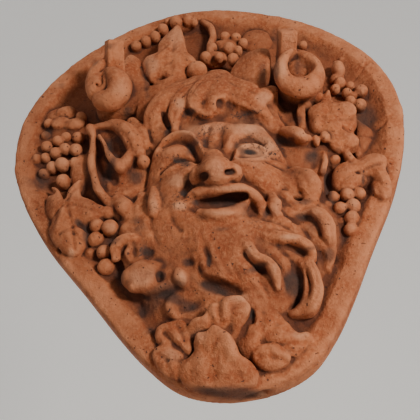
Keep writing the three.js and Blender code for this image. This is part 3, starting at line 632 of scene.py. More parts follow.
def add_beard(clay):
    """Beard, moustache ends, side locks and the beads among them, each over the ones before it."""
    for form in (
        lock([(205, 222, 33), (212, 245, 33), (222, 268, 32), (238, 290, 29)], [8, 12, 12, 5], 0.45,
            under=0.1),
        lock([(232, 222, 33), (236, 245, 34), (246, 268, 32), (258, 300, 27)], [8, 12, 10, 5], 0.45,
            under=0.1),
        lock([(243, 236, 34), (248, 248, 37), (256, 258, 38), (267, 262, 38), (275, 270, 37),
            (278, 288, 31)], [3, 4, 4.5, 4.2, 3.6, 1.8], 1.0, [0.2]),
        lock([(258, 232, 32), (272, 236, 34), (288, 239, 35), (301, 242, 34), (311, 250, 32),
            (313, 258, 29)], [3, 4.5, 4.5, 4.5, 4, 2.5], 0.9, [0.3]),
        lock([(306, 256, 29), (311, 268, 31), (316, 281, 31), (317, 294, 30), (311, 306, 28),
            (297, 312, 24)], [2.5, 3.8, 4.0, 4.2, 4.2, 2.5], 0.9, [0.1]),
        lock([(299, 260, 29), (303, 270, 30), (306, 282, 29), (306, 294, 28), (300, 305, 26),
            (292, 313, 22)], [1.8, 2.8, 3.0, 3.2, 3.4, 2.5], 0.9),
        lock([(284, 272, 29), (288, 284, 28), (285, 298, 25)], [3, 3.2, 2], 0.8, [0]),
        lock([(266, 280, 29), (268, 292, 27), (274, 304, 23)], [3.5, 4, 2.5], 0.7, [-0.3, 0.3], under=0.1),
        lock([(302, 214, 26), (311, 212, 29), (320, 215, 31), (327, 224, 30), (330, 236, 27),
            (333, 249, 22)], [3, 4.8, 5, 4.8, 4.2, 2], 0.9, [0.2]),
        lock([(288, 216, 27), (300, 226, 26), (314, 240, 23)], [4, 5, 3], 0.6, [-0.4, 0.3], under=0.1),
        lock([(322, 242, 22), (330, 254, 21), (328, 268, 18)], [4, 4, 2], 0.7, [0]),
        lock([(116, 258, 22), (116, 247, 26), (124, 240, 28), (134, 239, 28), (143, 244, 26)],
            [3, 4, 4.2, 4, 2.5], 0.9, [0.2]),
        lock([(132, 246, 26), (128, 253, 26), (131, 260, 24)], [2.4, 2.8, 2], 0.9),
        lock([(139, 244, 27), (142, 256, 26), (136, 263, 24)], [2.4, 2.8, 2], 0.9),
        lump(137, 277, 24, 9, 9, 7), lump(146, 270, 26, 8, 5.5, 6, -15), lump(148, 284, 24, 8, 6, 6, 20),
        lump(130, 279, 23, 6, 7, 6), lump(141, 268, 27, 4, 3, 4), lump(135, 287, 25, 5, 4, 5),
        lock([(146, 266, 26), (156, 268, 27), (165, 272, 26), (168, 280, 25), (160, 288, 24),
            (148, 289, 22)], [4, 4.5, 3.5, 3.5, 4, 3], 0.8),
        lump(181, 279, 27, 5.0, 8.5, 6, 8), lump(290, 186, 23, 8, 14, 8), lump(311, 229, 23, 8, 9, 5),
        lock([(194, 253, 30), (197, 261, 31), (197, 270, 29)], [2.4, 3.4, 1.5], 1.0),
        lock([(207, 251, 31), (211, 262, 32), (212, 272, 30)], [2, 2.6, 1.5], 0.9),
        lock([(153, 188, 31), (154, 198, 33), (154, 208, 33), (153, 214, 31)], [1.8, 3.6, 4.6, 3.2], 1.0),
        lock([(272, 196, 33), (275, 205, 35), (278, 214, 33)], [3, 5.4, 4.0], 0.9),
        lock([(174, 298, 20), (171, 306, 22), (176, 315, 22), (186, 317, 20)], [3, 3.8, 3.6, 2], 0.9),
        lock([(178, 293, 21), (187, 297, 23), (200, 296, 22)], [3, 3.6, 2.5], 0.7, [0]),
        lock([(150, 222, 26), (158, 234, 28), (172, 242, 29), (184, 252, 28)], [3, 5, 5, 3], 0.6,
            [-0.3, 0.3], under=0.1),
        lock([(172, 218, 31), (178, 228, 32), (190, 236, 32), (202, 236, 32)], [3, 4.5, 4.5, 3], 0.6, [0],
            under=0.1),
        lock([(186, 214, 31), (194, 224, 31), (198, 236, 30), (192, 250, 28)], [3, 4.5, 4.5, 2.5], 0.4,
            [0.2], under=0.1),
        lock([(160, 214, 28), (170, 226, 28), (180, 232, 27)], [4, 5, 3], 0.4, [0], under=0.1),
        lock([(150, 240, 25), (160, 252, 27), (176, 260, 27)], [3, 4.5, 3], 0.6, [0], under=0.1),
        lock([(168, 268, 26), (172, 276, 26), (174, 286, 24)], [2.5, 3, 2], 0.7),
        lock([(196, 276, 28), (204, 284, 28), (216, 288, 26)], [3, 4, 3], 0.6, [0], under=0.1),
        lock([(296, 172, 27), (305, 178, 29), (311, 187, 29), (312, 198, 26)], [5, 8, 8.5, 5], 0.7, [-0.3]),
        lock([(324, 152, 22), (325, 162, 23), (323, 172, 23)], [1.6, 2.4, 2.2], 0.7),
        lock([(284, 130, 27), (294, 132, 31), (303, 136, 31), (308, 138, 28)], [3, 4.6, 5, 3], 0.9),
        lock([(118, 200, 22), (126, 208, 24), (130, 216, 23)], [5, 6.5, 4], 0.7),
        lock([(131, 221, 22), (136, 225, 22)], [2.8, 2.6], 0.8), lump(126, 229, 21, 3.4, 3.4, 4),
        lock([(142, 196, 25), (140, 212, 25), (146, 226, 24)], [3.5, 4.5, 3], 0.7, [0], under=0.1),
        lock([(240, 300, 26), (252, 302, 26), (266, 306, 23)], [4, 4, 3], 0.7, [0], under=0.1),
        lock([(288, 222, 30), (276, 226, 31), (262, 228, 31)], [3, 4, 3], 0.6, [0], under=0.1),
        lock([(286, 196, 29), (292, 204, 27), (290, 214, 26)], [3.5, 4, 3], 0.6, under=0.1),
    ):
        clay.add(form, 2.2)


def cut_beard(clay):
    """The hollows between the locks of the beard and at its sides."""
    for form in (
        lump(293, 284, 32, 5, 14, 6, -10), lump(302, 217, 30, 6, 3.5, 4), lump(146, 252, 30, 5, 4, 5),
        lump(161, 275, 32, 3, 2.6, 4.5), lump(187, 262, 33, 4.5, 3.5, 4),
        lump(191, 305, 26, 8, 3.6, 4.5, 15), lump(216, 285, 31, 14, 4, 6, -25),
        lump(230, 290, 32, 8, 3, 6, -12), lump(184, 194, 40, 3.4, 2.4, 3.5), lump(110, 240, 18, 6, 4, 5),
        lump(310, 154, 25, 8, 3.5, 4, 30), lump(314, 162, 24, 3.5, 7, 4, -20),
        lump(330, 182, 17, 4, 15, 5, -12), lump(297, 202, 24, 4, 2.5, 4), lump(330, 255, 16, 5, 6, 4),
        lump(120, 268, 16, 4, 8, 4),
    ):
        clay.cut(form, 2.5)


# Furrows between strands, or low ridges if negative: level, depth, half-width, then pixels
STRANDS = (
    (32, 0.9, 1.8, (208, 232), (215, 250), (224, 268), (238, 286)),
    (32, 0.8, 1.6, (228, 262), (238, 276), (250, 292)),
    (31, 1.2, 1.8, (200, 230), (204, 246), (212, 264), (220, 276)),
    (31, 2.8, 2.2, (170, 216), (176, 228), (184, 237)), (26, 2.6, 2.2, (152, 216), (152, 230), (160, 248)),
    (31, 1.6, 1.8, (250, 228), (262, 233), (276, 242)),
    (30, 1.8, 1.8, (254, 221), (272, 225), (288, 230), (300, 238)),
    (26, 2.0, 2.0, (270, 214), (286, 219), (301, 228), (314, 242)), (26, 1.6, 1.8, (286, 206), (298, 214)),
    (29, 2.0, 1.8, (262, 252), (274, 262), (285, 278), (287, 298)),
    (27, 1.8, 1.8, (254, 276), (262, 286), (272, 302)), (27, 1.6, 1.8, (247, 282), (256, 296), (268, 306)),
    (28, 1.8, 1.8, (280, 252), (291, 262), (297, 276)), (22, 1.6, 1.8, (112, 266), (122, 272)),
    (30, 3.2, 2.4, (205, 250), (208, 260), (211, 272)), (24, 2.2, 2.2, (150, 294), (170, 292), (190, 290)),
    (22, 2.6, 2.4, (160, 300), (172, 292), (186, 286)),
    (30, 4.0, 3.0, (243, 254), (248, 264), (258, 270), (270, 271)),
    (30, 2.4, 2.2, (284, 247), (297, 250), (309, 257)),
    (28, 3.0, 3.0, (298, 264), (301, 278), (299, 294), (289, 308)),
    (27, 1.8, 1.6, (306, 272), (309, 286), (307, 300)),
    (35, 1.6, 1.5, (200, 85), (186, 93), (173, 105), (166, 120)),
    (38, 1.8, 1.6, (207, 85), (198, 94), (191, 106)),
    (38, 1.6, 1.6, (226, 86), (240, 94), (256, 99), (268, 98)),
    (34, 1.4, 2.0, (232, 104), (248, 110), (262, 116)), (31, 4.0, 1.6, (163, 117), (166, 124), (171, 131)),
    (34, -1.5, 2.6, (192, 92), (178, 102), (168, 114)), (24, 2.0, 2.0, (276, 112), (284, 122), (292, 130)),
    (25, 1.0, 2.2, (278, 137), (288, 142), (299, 141)), (26, 1.6, 1.8, (120, 248), (128, 243), (137, 244)),
    (27, 2.0, 2.0, (166, 266), (160, 272), (158, 282)), (29, -1.2, 2.6, (176, 246), (186, 250), (196, 246)),
    (37, 1.0, 1.0, (196, 140), (204, 146), (210, 150)),
    (24, 2.4, 2.0, (96, 134), (98, 150), (100, 168), (106, 188)),
    (30, 1.6, 1.4, (120, 132), (128, 142), (133, 154)), (27, 2.0, 1.8, (151, 128), (150, 144), (150, 160)),
)


def add_strands(clay):
    """Draws the strands into hair, beard and ear."""
    for level, deep, half_width, *pixels in STRANDS:
        clay.stroke(pixels, level, STRAND_SHARE * deep, half_width)


def add_ear(clay):
    """The goat ear at the left: thin outer edge, inner flap, the V between them and the hollows."""
    for form in (
        sheet([(91, 132, 19), (108, 124, 21), (134, 124, 24), (150, 138, 25), (151, 170, 23),
            (140, 192, 20), (122, 214, 16), (106, 204, 16), (94, 178, 18)], 14, 3, tuck=0),
        lock([(90, 128, 25), (94, 138, 26), (93, 150, 25), (91, 162, 25), (94, 176, 25), (98, 189, 24),
            (108, 202, 21), (113, 210, 19), (120, 218, 17)], [3.6, 2.8, 2.6, 2.8, 3.0, 3.2, 3.2, 3.6, 3.4],
            1.0),
        lock([(99, 136, 27), (106, 149, 29), (113, 160, 30), (120, 166, 30)], [1.8, 2.6, 3.4, 4.0], 1.0),
        lock([(120, 166, 30), (126, 160, 31), (131, 152, 31), (130, 144, 30)], [4.0, 3.6, 3.4, 2.5], 0.9),
        lock([(92, 128, 24), (104, 125, 26), (116, 124, 29), (126, 130, 32), (134, 142, 33),
            (139, 152, 31)], [2.6, 3.4, 5, 6.5, 7, 5], 0.7, [0.5], under=0.1),
        lock([(132, 122, 28), (142, 132, 30), (148, 146, 29)], [4, 5, 4], 0.7, under=0.1),
        lump(144, 162, 27, 5, 5, 6),
        lock([(98, 190, 18), (110, 196, 19), (124, 194, 20), (134, 190, 20)], [3, 4, 4, 3.5], 0.7),
    ):
        clay.add(form, 1.4)
    for form in (
        roll([(106, 136, 32), (112, 144, 31), (119, 154, 32)], [3, 5, 3.5], 12),
        lump(109, 172, 25, 5, 15, 7, 22), lump(103, 152, 25, 3, 12, 6, 18), lump(135, 178, 27, 5, 5, 4),
    ):
        clay.cut(form, 1.6)


def add_left_horn(clay):
    """Its cone out of the hair, the squared strut, the ball and the curl that winds to a hooked slit."""
    for form, blend in (
        (egg(-70, 70, 14, 18, 19, 18), 3),
        (sheet([(128, 54, 30), (136, 56, 27), (144, 66, 24), (149, 82, 24), (147, 100, 24), (138, 112, 22),
            (122, 112, 22), (118, 90, 34)], 20, 3, tuck=0), 3),
        (bar((115, 88, 30), (114, 40, 57), 7.0, 6.5, 35), 1.2), (lump(110, 88, 36, 18.5, 17.5, 14), 2),
        (roll([(96, 92, 40), (94, 82, 41), (97, 73, 43), (103, 65, 44)], [7, 7, 6.5, 5]), 3),
        (roll([(106, 69, 49), (113, 74, 49), (119, 82, 47), (119, 92, 44), (112, 100, 41), (102, 101, 39)],
            [1.5, 6, 9, 9.5, 9, 7.5]), 1.6),
    ):
        clay.add(form, blend)
    for lift in (0, -3.5):
        slit = [(105, 66, 51 + lift), (101.5, 72, 50 + lift), (100.5, 77, 49 + lift), (101.5, 82, 48 + lift),
                (98.5, 86, 47 + lift), (96, 84, 46 + lift)]
        clay.cut(roll(slit, [1.4, 1.8, 1.8, 1.6, 1.4, 0.8]), 0.8)


def add_right_horn(clay):
    """Its cone, the squared strut behind, and the curl round a dish, its tip lying on the strut."""
    for form, blend in (
        (egg(81, 54, 14, 18, 19, 18), 3),
        (sheet([(229, 74, 27), (241, 57, 27), (256, 49, 31), (268, 48, 36), (270, 62, 36), (266, 80, 33),
            (268, 98, 30), (250, 94, 29), (236, 84, 28)], 26, 4, tuck=0), 5),
        (bar((286, 66, 30), (287, 29.5, 57), 7.0, 7.0, 22), 1.0),
        (sheet([(286, 54, 30), (300, 50, 32), (315, 60, 32), (321, 76, 33), (314, 91, 34), (298, 94, 34),
            (282, 86, 34), (279, 68, 34)], 24, 1, tuck=0), 3),
        (roll([(291, 51, 57.5), (285, 57, 56), (281, 66, 53), (282, 76, 49), (288, 84, 46), (300, 88, 44),
            (311, 85, 43), (316, 76, 42), (314, 66, 41), (306, 58, 39), (297, 55, 37)],
            [1.8, 4.2, 5.8, 7.0, 8.0, 8.0, 7.5, 6.5, 6.0, 5.5, 5]), 1.0),
        (lump(303, 68, 35, 12, 12, 6), 2),
    ):
        clay.add(form, blend)
    clay.cut(lump(303, 67, 46, 8.5, 10, 7, 12), 3.5)


def add_leaves(clay):
    """The vine leaves, from the upper left round to the bottom right."""
    for form in (
        sheet([(178, 24, 31), (184, 36, 31), (187, 50, 31), (196, 60, 30), (187, 68, 30), (184, 78, 28),
            (170, 80, 28), (162, 75, 29), (150, 79, 28), (142, 68, 28), (145, 58, 29), (157, 52, 30),
            (158, 44, 29), (166, 34, 29)], 5, 5, [(0.6, 2.2, (178, 26), (172, 52), (170, 76)), (0.6, 2.2,
            (171, 60), (148, 68)), (0.6, 2.2, (172, 52), (160, 42)), (0.6, 2.2, (172, 56), (190, 60)),
            (-1.5, 3, (168, 47), (158, 56))]),
        sheet([(46, 128, 13), (47, 114, 14), (58, 108, 14), (72, 107, 14), (84, 114, 14), (86, 126, 14),
            (76, 132, 15), (62, 134, 15), (52, 134, 14)], 8, 5, [(1, 1.5, (50, 124), (66, 120), (82, 112)),
            (0.8, 1.5, (66, 120), (66, 109))]),
        sheet([(241, 46, 12), (244, 33, 13), (256, 29, 13), (268, 33, 13), (272, 44, 12), (258, 51, 12)], 9,
            4),
        sheet([(50, 186, 21), (57, 187, 22), (64, 198, 24), (68, 188, 24), (80, 178, 24), (80, 194, 25),
            (94, 200, 24), (104, 212, 24), (92, 220, 24), (80, 220, 24), (76, 224, 24), (86, 232, 22),
            (84, 246, 21), (74, 254, 22), (57, 247, 21), (48, 230, 21), (51, 221, 21), (46, 212, 18),
            (48, 198, 17), (55, 194, 19)], 5, 5, [(1.0, 1.2, (62, 204), (54, 210), (49, 213)), (1.1, 1.2,
            (66, 204), (71, 222), (73, 246)), (0.9, 1.2, (71, 224), (58, 232)), (0.9, 1.2, (72, 230),
            (82, 238)), (1.0, 1.2, (72, 203), (88, 208), (100, 211)), (0.9, 1.4, (66, 198), (78, 182)),
            (-1.5, 3, (62, 210), (56, 226))]),
        sheet([(308, 122, 24), (310, 108, 25), (320, 101, 26), (324, 92, 25), (329, 88, 25), (334, 100, 26),
            (344, 104, 24), (355, 112, 21), (357, 124, 20), (354, 130, 21), (359, 142, 19), (352, 151, 19),
            (338, 151, 22), (329, 144, 24), (325, 134, 26), (312, 130, 25)], 5, 5, [(0.8, 1.8, (330, 112),
            (327, 95)), (0.8, 1.8, (338, 118), (354, 114)), (0.8, 1.8, (336, 124), (350, 146)), (0.7, 1.8,
            (324, 116), (312, 112)), (-1.2, 3, (320, 104), (316, 124)), (-1.0, 3, (344, 132), (350, 142)),
            (1.6, 2, (342, 124), (356, 128))]),
        sheet([(356, 118, 12), (366, 124, 12), (375, 134, 11), (368, 146, 12), (358, 156, 13),
            (352, 148, 14), (356, 134, 13)], 8, 3, [(0.8, 1.4, (358, 134), (372, 134)), (0.8, 1.4,
            (358, 140), (364, 150))]),
        sheet([(332, 182, 19), (334, 168, 21), (344, 161, 22), (356, 160, 22), (366, 154, 24),
            (378, 152, 24), (388, 157, 23.5), (386, 167, 23), (391, 178, 22.5), (392, 191, 22),
            (385, 197, 21.5), (374, 191, 21), (370, 182, 16), (362, 186, 18), (352, 190, 19),
            (338, 189, 19)], 5, 6, [(1.0, 1.5, (358, 168), (374, 172), (390, 192)), (1.0, 1.6, (358, 168),
            (384, 160)), (1.1, 1.6, (358, 168), (340, 178)), (0.9, 1.4, (362, 172), (376, 180), (384, 196)),
            (1.2, 1.6, (362, 176), (356, 188))]),
        sheet([(188, 333, 25), (187, 324, 28), (195, 316, 31), (203, 314, 33), (206, 306, 36),
            (213, 300, 38), (226, 296, 40), (238, 292, 41), (247, 297, 39), (250, 308, 34), (243, 326, 28),
            (230, 346, 23), (206, 346, 21)], 7, 3, [(1.6, 2, (206, 308), (212, 322)), (1.8, 2, (218, 300),
            (220, 320)), (-1.5, 3, (228, 298), (226, 318)), (2.2, 3, (246, 303), (232, 310), (228, 326))]),
        sheet([(193, 340, 29), (196, 331, 32), (205, 330, 33), (213, 322, 37), (222, 327, 36),
            (234, 338, 34), (240, 352, 30), (252, 362, 25), (259, 374, 21), (255, 384, 20), (240, 388, 20),
            (226, 390, 20.5), (210, 389, 20.5), (196, 387, 20.5), (182, 382, 20.5), (177, 370, 21.5),
            (181, 361, 20), (190, 356, 23), (194, 350, 25)], 7, 5, [(0.8, 3.0, (213, 332), (214, 356),
            (212, 384)), (0.7, 2.4, (211, 352), (190, 366)), (0.8, 2.4, (220, 354), (240, 370), (252, 378)),
            (0.8, 2, (203, 336), (205, 350)), (-1.5, 3.5, (228, 336), (232, 356)), (-1.2, 3.5, (200, 360),
            (202, 382))]),
        sheet([(155, 338, 21), (157, 326, 22), (167, 321, 23), (182, 319, 24), (190, 328, 25),
            (192, 350, 24), (184, 358, 22), (166, 350, 21)], 6, 4, [(2.0, 1.8, (163, 330), (172, 340),
            (184, 354)), (1.0, 1.6, (176, 322), (184, 340))]),
        sheet([(152, 352, 20.5), (159, 344, 22), (172, 346, 23), (185, 354, 23), (182, 366, 22),
            (177, 379, 20), (164, 374, 20), (155, 364, 20)], 6, 4, [(1.0, 1.6, (156, 352), (168, 358),
            (180, 358)), (0.8, 1.6, (166, 358), (168, 372))]),
        sheet([(246, 350, 24), (244, 338, 26), (247, 326, 26), (250, 308, 27), (262, 305, 26),
            (276, 310, 24), (288, 322, 22), (298, 331, 22), (308, 331, 21.5), (313, 337, 20.5),
            (306, 346, 20.5), (296, 355, 20.5), (286, 354, 21), (270, 348, 22), (256, 352, 23)], 6, 5,
            [(3.0, 1.5, (252, 308), (252, 320)), (1.4, 1.3, (262, 340), (286, 340), (308, 337)), (0.9, 1.0,
            (290, 336), (304, 333)), (0.9, 1.0, (290, 346), (302, 346)), (1.0, 2, (262, 336), (264, 312)),
            (1.0, 2, (262, 338), (278, 322))]),
        sheet([(252, 358, 24), (253, 350, 25), (262, 343, 26), (275, 342, 25), (285, 348, 24),
            (291, 357, 22), (284, 366, 21), (270, 369, 21), (258, 366, 22)], 6, 5, [(1.3, 1.5, (258, 354),
            (272, 354), (286, 357)), (0.8, 1.5, (268, 346), (274, 356))]),
    ):
        clay.add(form, 1.0)


def add_stems(clay):
    """The beds under the leaves, the lumps on them, and the stems."""
    for form in (
        lump(227, 50, 11, 12, 14, 8), lump(216, 60, 17, 10, 8, 7), lump(182, 26, 14, 14, 8, 7),
        lump(247, 336, 19, 9, 16, 6), lump(318, 112, 26, 8, 7, 4), lump(346, 110, 24, 8, 9, 4),
        lump(349, 141, 22, 7, 7, 4), lump(333, 125, 26, 7, 6, 3), lump(66, 112, 18, 8, 6, 3.5),
        lump(60, 123, 18, 8, 6, 3.5), lump(75, 124, 18, 8, 6, 3.5),
        lock([(203, 22, 15), (210, 27, 17), (213, 36, 18), (210, 46, 19), (210, 54, 21)],
            [3, 3.4, 3.2, 3.2, 3.4], 0.9),
        lock([(346, 152, 20), (350, 158, 22), (355, 163, 22)], [2.6, 3, 3], 0.9),
        lock([(302, 103, 23), (301, 114, 24), (302, 127, 23)], [3, 3.5, 3], 0.6),
    ):
        clay.add(form, 1.2)


# Pixel across, pixel down, radius, h
BERRIES = (
    (49, 124, 5, 16), (46, 136, 4.6, 14), (47, 147, 5.4, 17), (58, 141, 5.0, 19), (66, 137, 4.6, 18),
    (65, 149, 5.4, 20), (76, 150, 6.0, 19), (56, 153, 5.4, 19), (46, 158, 5.0, 16), (81, 117, 5.0, 18),
    (38, 160, 5.4, 14), (52, 167, 5.4, 18), (62, 164, 6.2, 20), (75, 163, 5.4, 18), (44, 174, 5.2, 15),
    (63, 181, 6.2, 18), (84, 168, 5.0, 16), (78, 138, 5.6, 16), (99, 212, 6.0, 20), (107, 213, 5.6, 20),
    (97, 226, 6.0, 20), (110, 228, 6.6, 21), (96, 240, 6.6, 18), (104, 252, 6.2, 18), (91, 254, 5.0, 14),
    (106, 267, 6.6, 17), (117, 245, 5.0, 16), (176, 22, 6.6, 23), (188, 20, 5.8, 22), (195, 32, 5.8, 20),
    (163, 29, 5.8, 19), (155, 36, 5.4, 18), (136, 46, 5.4, 15), (146, 41, 5.2, 16), (186, 33, 5.0, 18),
    (206, 57, 5.6, 24), (194, 22, 4.0, 21), (168, 22, 4.4, 20), (225, 37, 5.4, 17), (236, 38, 5.4, 17),
    (229, 48, 6.0, 22), (243, 43, 5.0, 17), (238, 50, 4.6, 20), (219, 45, 4.6, 15), (219, 57, 4.8, 25),
    (233, 59, 6.0, 25), (220, 66, 5.6, 28), (213, 47, 4.4, 20), (211, 62, 4.6, 26), (303, 45, 4.4, 14),
    (341, 60, 2.4, 12), (340, 83, 5.4, 16), (350, 86, 4.4, 15), (361, 91, 6.2, 15), (347, 93, 4.6, 16),
    (350, 101, 5.2, 17), (360, 105, 5.8, 15), (353, 96, 4.0, 14), (318, 98, 5.6, 23), (306, 106, 5.0, 22),
    (335, 89, 4.4, 16), (335, 160, 4.6, 19), (333, 197, 5.0, 18), (327, 206, 4.6, 16), (347, 195, 5.6, 18),
    (359, 194, 5.4, 16), (340, 208, 5.2, 18), (353, 206, 6.0, 18), (352, 218, 6.0, 17), (341, 222, 4.0, 14),
    (351, 230, 5.8, 15),
)


def add_berries(clay):
    """The bunches on their beds, and the four drops that are longer than berries."""
    for bed in (
        lump(82, 174, 13, 9, 20, 8), lump(89, 178, 11, 9, 22, 8), lump(100, 236, 10, 12, 22, 7),
        lump(86, 228, 14, 6, 6, 7), lump(62, 150, 9, 22, 24, 6), lump(346, 208, 9, 10, 20, 6),
    ):
        clay.add(bed, 4)
    for across, down, radius, h in BERRIES:
        clay.add(berry(*shown_at(across, down, h), BERRY_SHARE * radius), 0.8)
    for form in (
        lump(338, 70, 15, 5.2, 8, 8), lump(337, 80, 12, 6, 6, 5), lump(316, 141, 25, 3.2, 5.4, 4),
        lump(325, 137, 26, 4.0, 5.0, 4.5),
    ):
        clay.add(form, 0.8)


# Cracks: level, depth, half-width, then pixels across and down
CRACKS = (
    (13, 0.9, 0.9, (353, 79), (361, 73), (366, 67), (372, 63)),
    (15, 0.9, 0.9, (374, 129), (383, 125), (388, 119), (394, 115)),
    (17, 0.8, 0.9, (345, 252), (352, 256), (358, 254)),
)


def add_wear(clay):
    """Cracks across the ground and the rim, nicks in the rim and the chipped foot."""
    for level, deep, half_width, *pixels in CRACKS:
        clay.stroke(pixels, level, deep, half_width)
    for form in (
        lump(339, 287, 18, 3.2, 1.6, 1.6, 30), lump(142, 332, 18, 3.0, 2.0, 1.6, -20),
        lump(262, 396, 9, 6, 3.5, 5, 10), lump(252, 399, 7, 5, 3, 4), lump(206, 400, 14, 12, 1.6, 2.5, -4),
        lump(60, 250, 17, 2, 4, 1.6, -20), lump(240, 17, 17, 5, 2, 1.5),
    ):
        clay.cut(form, 1.0)


# From the clay to a mesh

# Cells along each side of the noise's table, which repeats, and the corners of a grid cell
NOISE_SIDE = 32
CORNERS = [(i, j, k) for i in (0, 1) for j in (0, 1) for k in (0, 1)]


def crossed_cells(inside):
    """The cells that the surface passes through."""
    ni, nj, nk = (n - 1 for n in inside.shape)
    count = np.zeros((ni, nj, nk), np.int32)
    for i, j, k in CORNERS:
        count += inside[i:ni + i, j:nj + j, k:nk + k]
    return np.nonzero((count > 0) & (count < len(CORNERS)))


def cell_points(field, cells):
    """In each cell, the mean of the places where its edges cross the surface."""
    total = np.zeros((len(cells[0]), 3))
    hits = np.zeros(len(cells[0]))
    for start in CORNERS:
        for axis in range(3):
            if start[axis] == 1:
                continue
            end = tuple(s + (a == axis) for a, s in enumerate(start))
            f0 = field[tuple(c + s for c, s in zip(cells, start))]
            f1 = field[tuple(c + e for c, e in zip(cells, end))]
            cross = (f0 < 0) != (f1 < 0)
            t = np.where(cross, f0 / np.where(cross, f0 - f1, 1), 0)
            for a in range(3):
                total[:, a] += np.where(cross, start[a] + (t if a == axis else 0), 0)
            hits += cross
    return np.stack(cells, axis=1) + total / hits[:, None]


def axis_quads(inside, number, axis):
    """Quads across the grid lines of one axis that pass through the surface, facing out of the clay."""
    b, c = [a for a in range(3) if a != axis]
    counts = inside.shape
    low = [slice(None)] * 3
    high = [slice(None)] * 3
    low[axis], high[axis] = slice(0, -1), slice(1, None)
    first, second = inside[tuple(low)], inside[tuple(high)]
    at = np.stack(np.nonzero(first != second), axis=1)
    at = at[(at[:, b] > 0) & (at[:, c] > 0) & (at[:, b] < counts[b] - 1) & (at[:, c] < counts[c] - 1)]
    around = []
    for db, dc in ((1, 1), (0, 1), (0, 0), (1, 0)):
        spot = at.copy()
        spot[:, b] -= db
        spot[:, c] -= dc
        around.append(number[tuple(spot.T)])
    quad = np.stack(around, axis=1)
    leaving = first[tuple(at.T)]
    kept = ~leaving if axis != 1 else leaving
    return np.where(kept[:, None], quad, quad[:, ::-1])


def surface_net(field):
    """Corners and quads of the surface where the field is zero."""
    inside = field < 0
    cells = crossed_cells(inside)
    number = np.full([n - 1 for n in field.shape], -1, np.int64)
    number[cells] = np.arange(len(cells[0]))
    quads = [axis_quads(inside, number, axis) for axis in range(3)]
    return cell_points(field, cells), np.vstack(quads)


def largest_shell(points, quads):
    """Drops crumbs and sealed gaps: only the shell with the most corners stays."""
    leader = np.arange(len(points))
    edges = np.vstack([quads[:, [0, 1]], quads[:, [1, 2]], quads[:, [2, 3]]])
    while True:
        least = np.minimum(leader[edges[:, 0]], leader[edges[:, 1]])
        new = leader.copy()
        np.minimum.at(new, edges[:, 0], least)
        np.minimum.at(new, edges[:, 1], least)
        new = new[new]
        if np.array_equal(new, leader):
            break
        leader = new
    shell = np.bincount(leader).argmax()
    stays = leader == shell
    renumber = np.cumsum(stays) - 1
    return points[stays], renumber[quads[stays[quads[:, 0]]]]


def corner_weights(t):
    """Each corner of a cell and how much it counts at the given places within the cell."""
    for corner in CORNERS:
        weight = 1.0
        for a, side in enumerate(corner):
            weight = weight * (t[:, a] if side else 1 - t[:, a])
        yield corner, weight


def value_noise(points, scale, seed):
    """Smooth noise from -1 to 1 with lumps of the given size."""
    table = np.random.default_rng(seed).uniform(-1, 1, (NOISE_SIDE, NOISE_SIDE, NOISE_SIDE))
    place = points / scale
    cell = np.floor(place).astype(int)
    t = place - cell
    t = t * t * (3 - 2 * t)
    value = np.zeros(len(points))
    for corner, weight in corner_weights(t):
        value += weight * table[tuple(((cell + corner) % NOISE_SIDE).T)]
    return value


def blurred(solid, radius):
    """Box blur of the solid, by running sums, twice along each axis."""
    reach = int(round(radius / CELL))
    out = solid.astype(np.float32)
    for axis in (0, 1, 2, 0, 1, 2):
        padded = np.concatenate([np.zeros_like(out.take([0], axis)), np.cumsum(out, axis=axis)], axis=axis)
        n = out.shape[axis]
        high = np.minimum(np.arange(n) + reach + 1, n)
        low = np.maximum(np.arange(n) - reach, 0)
        out = (padded.take(high, axis) - padded.take(low, axis)) / (2 * reach + 1)
    return out


def sampled(grid, place):
    """Value of a grid at fractional grid places, between its nearest eight."""
    place = np.clip(place, 0, np.array(grid.shape) - 1.001)
    cell = np.floor(place).astype(int)
    value = np.zeros(len(place))
    for corner, weight in corner_weights(place - cell):
        value += weight * grid[tuple((cell + corner).T)]
    return value


CARVING_STEPS = (
    add_head, add_hair, add_beard, cut_beard, add_ear, add_left_horn, add_right_horn, add_strands, add_face,
    cut_mouth, add_leaves, add_stems, add_berries, add_wear,
)


def build_clay():
    """The whole clay, and each column's distance from the plaque's edge."""
    half_width, half_height = HALF_WIDTH + MARGIN, HALF_HEIGHT + MARGIN
    low = (-half_width, -MARGIN, -half_height)
    high = (half_width, DEPTH + 2 * MARGIN, half_height)
    clay = Clay(low, high)
    edge = start_clay(clay, outline())
    for step in CARVING_STEPS:
        step(clay)
    finish_clay(clay, edge)
    return clay, edge


def to_world(points):
    """From the plaque's own frame in millimetres to the shared frame in metres."""
    return (points * (1, -1, 1) + (0, 0, MIDDLE_Z)) * MM


def build_plaque():
    """The finished mesh, with the attributes that its material reads."""
    clay, edge = build_clay()
    places, quads = surface_net(clay.field)
    places, quads = largest_shell(places, quads)
    points = clay.low + places * CELL
    mesh = bpy.data.meshes.new("plaque_relief")
    mesh.from_pydata(to_world(points).tolist(), [], quads.tolist())
    plaque = linked("plaque_relief", mesh)
    reduce_mesh(plaque, len(quads) * 2)
    roughen(plaque)
    add_attributes(plaque, clay, edge)
    return plaque


def reduce_mesh(plaque, triangles):
    """Brings the mesh down to its share of triangles."""
    modifier = plaque.modifiers.new("fewer", "DECIMATE")
    modifier.ratio = min(1.0, TRIANGLES / triangles)
    evaluated = plaque.evaluated_get(bpy.context.evaluated_depsgraph_get())
    reduced = bpy.data.meshes.new_from_object(evaluated)
    plaque.modifiers.clear()
    old = plaque.data
    plaque.data = reduced
    bpy.data.meshes.remove(old)
    reduced.name = "plaque_relief"


def vertex_values(plaque, name):
    """Three values of each corner, turned from the shared frame's axes to the plaque's own."""
    flat = np.empty(len(plaque.data.vertices) * 3)
    plaque.data.vertices.foreach_get(name, flat)
    return flat.reshape(-1, 3) * (1, -1, 1)


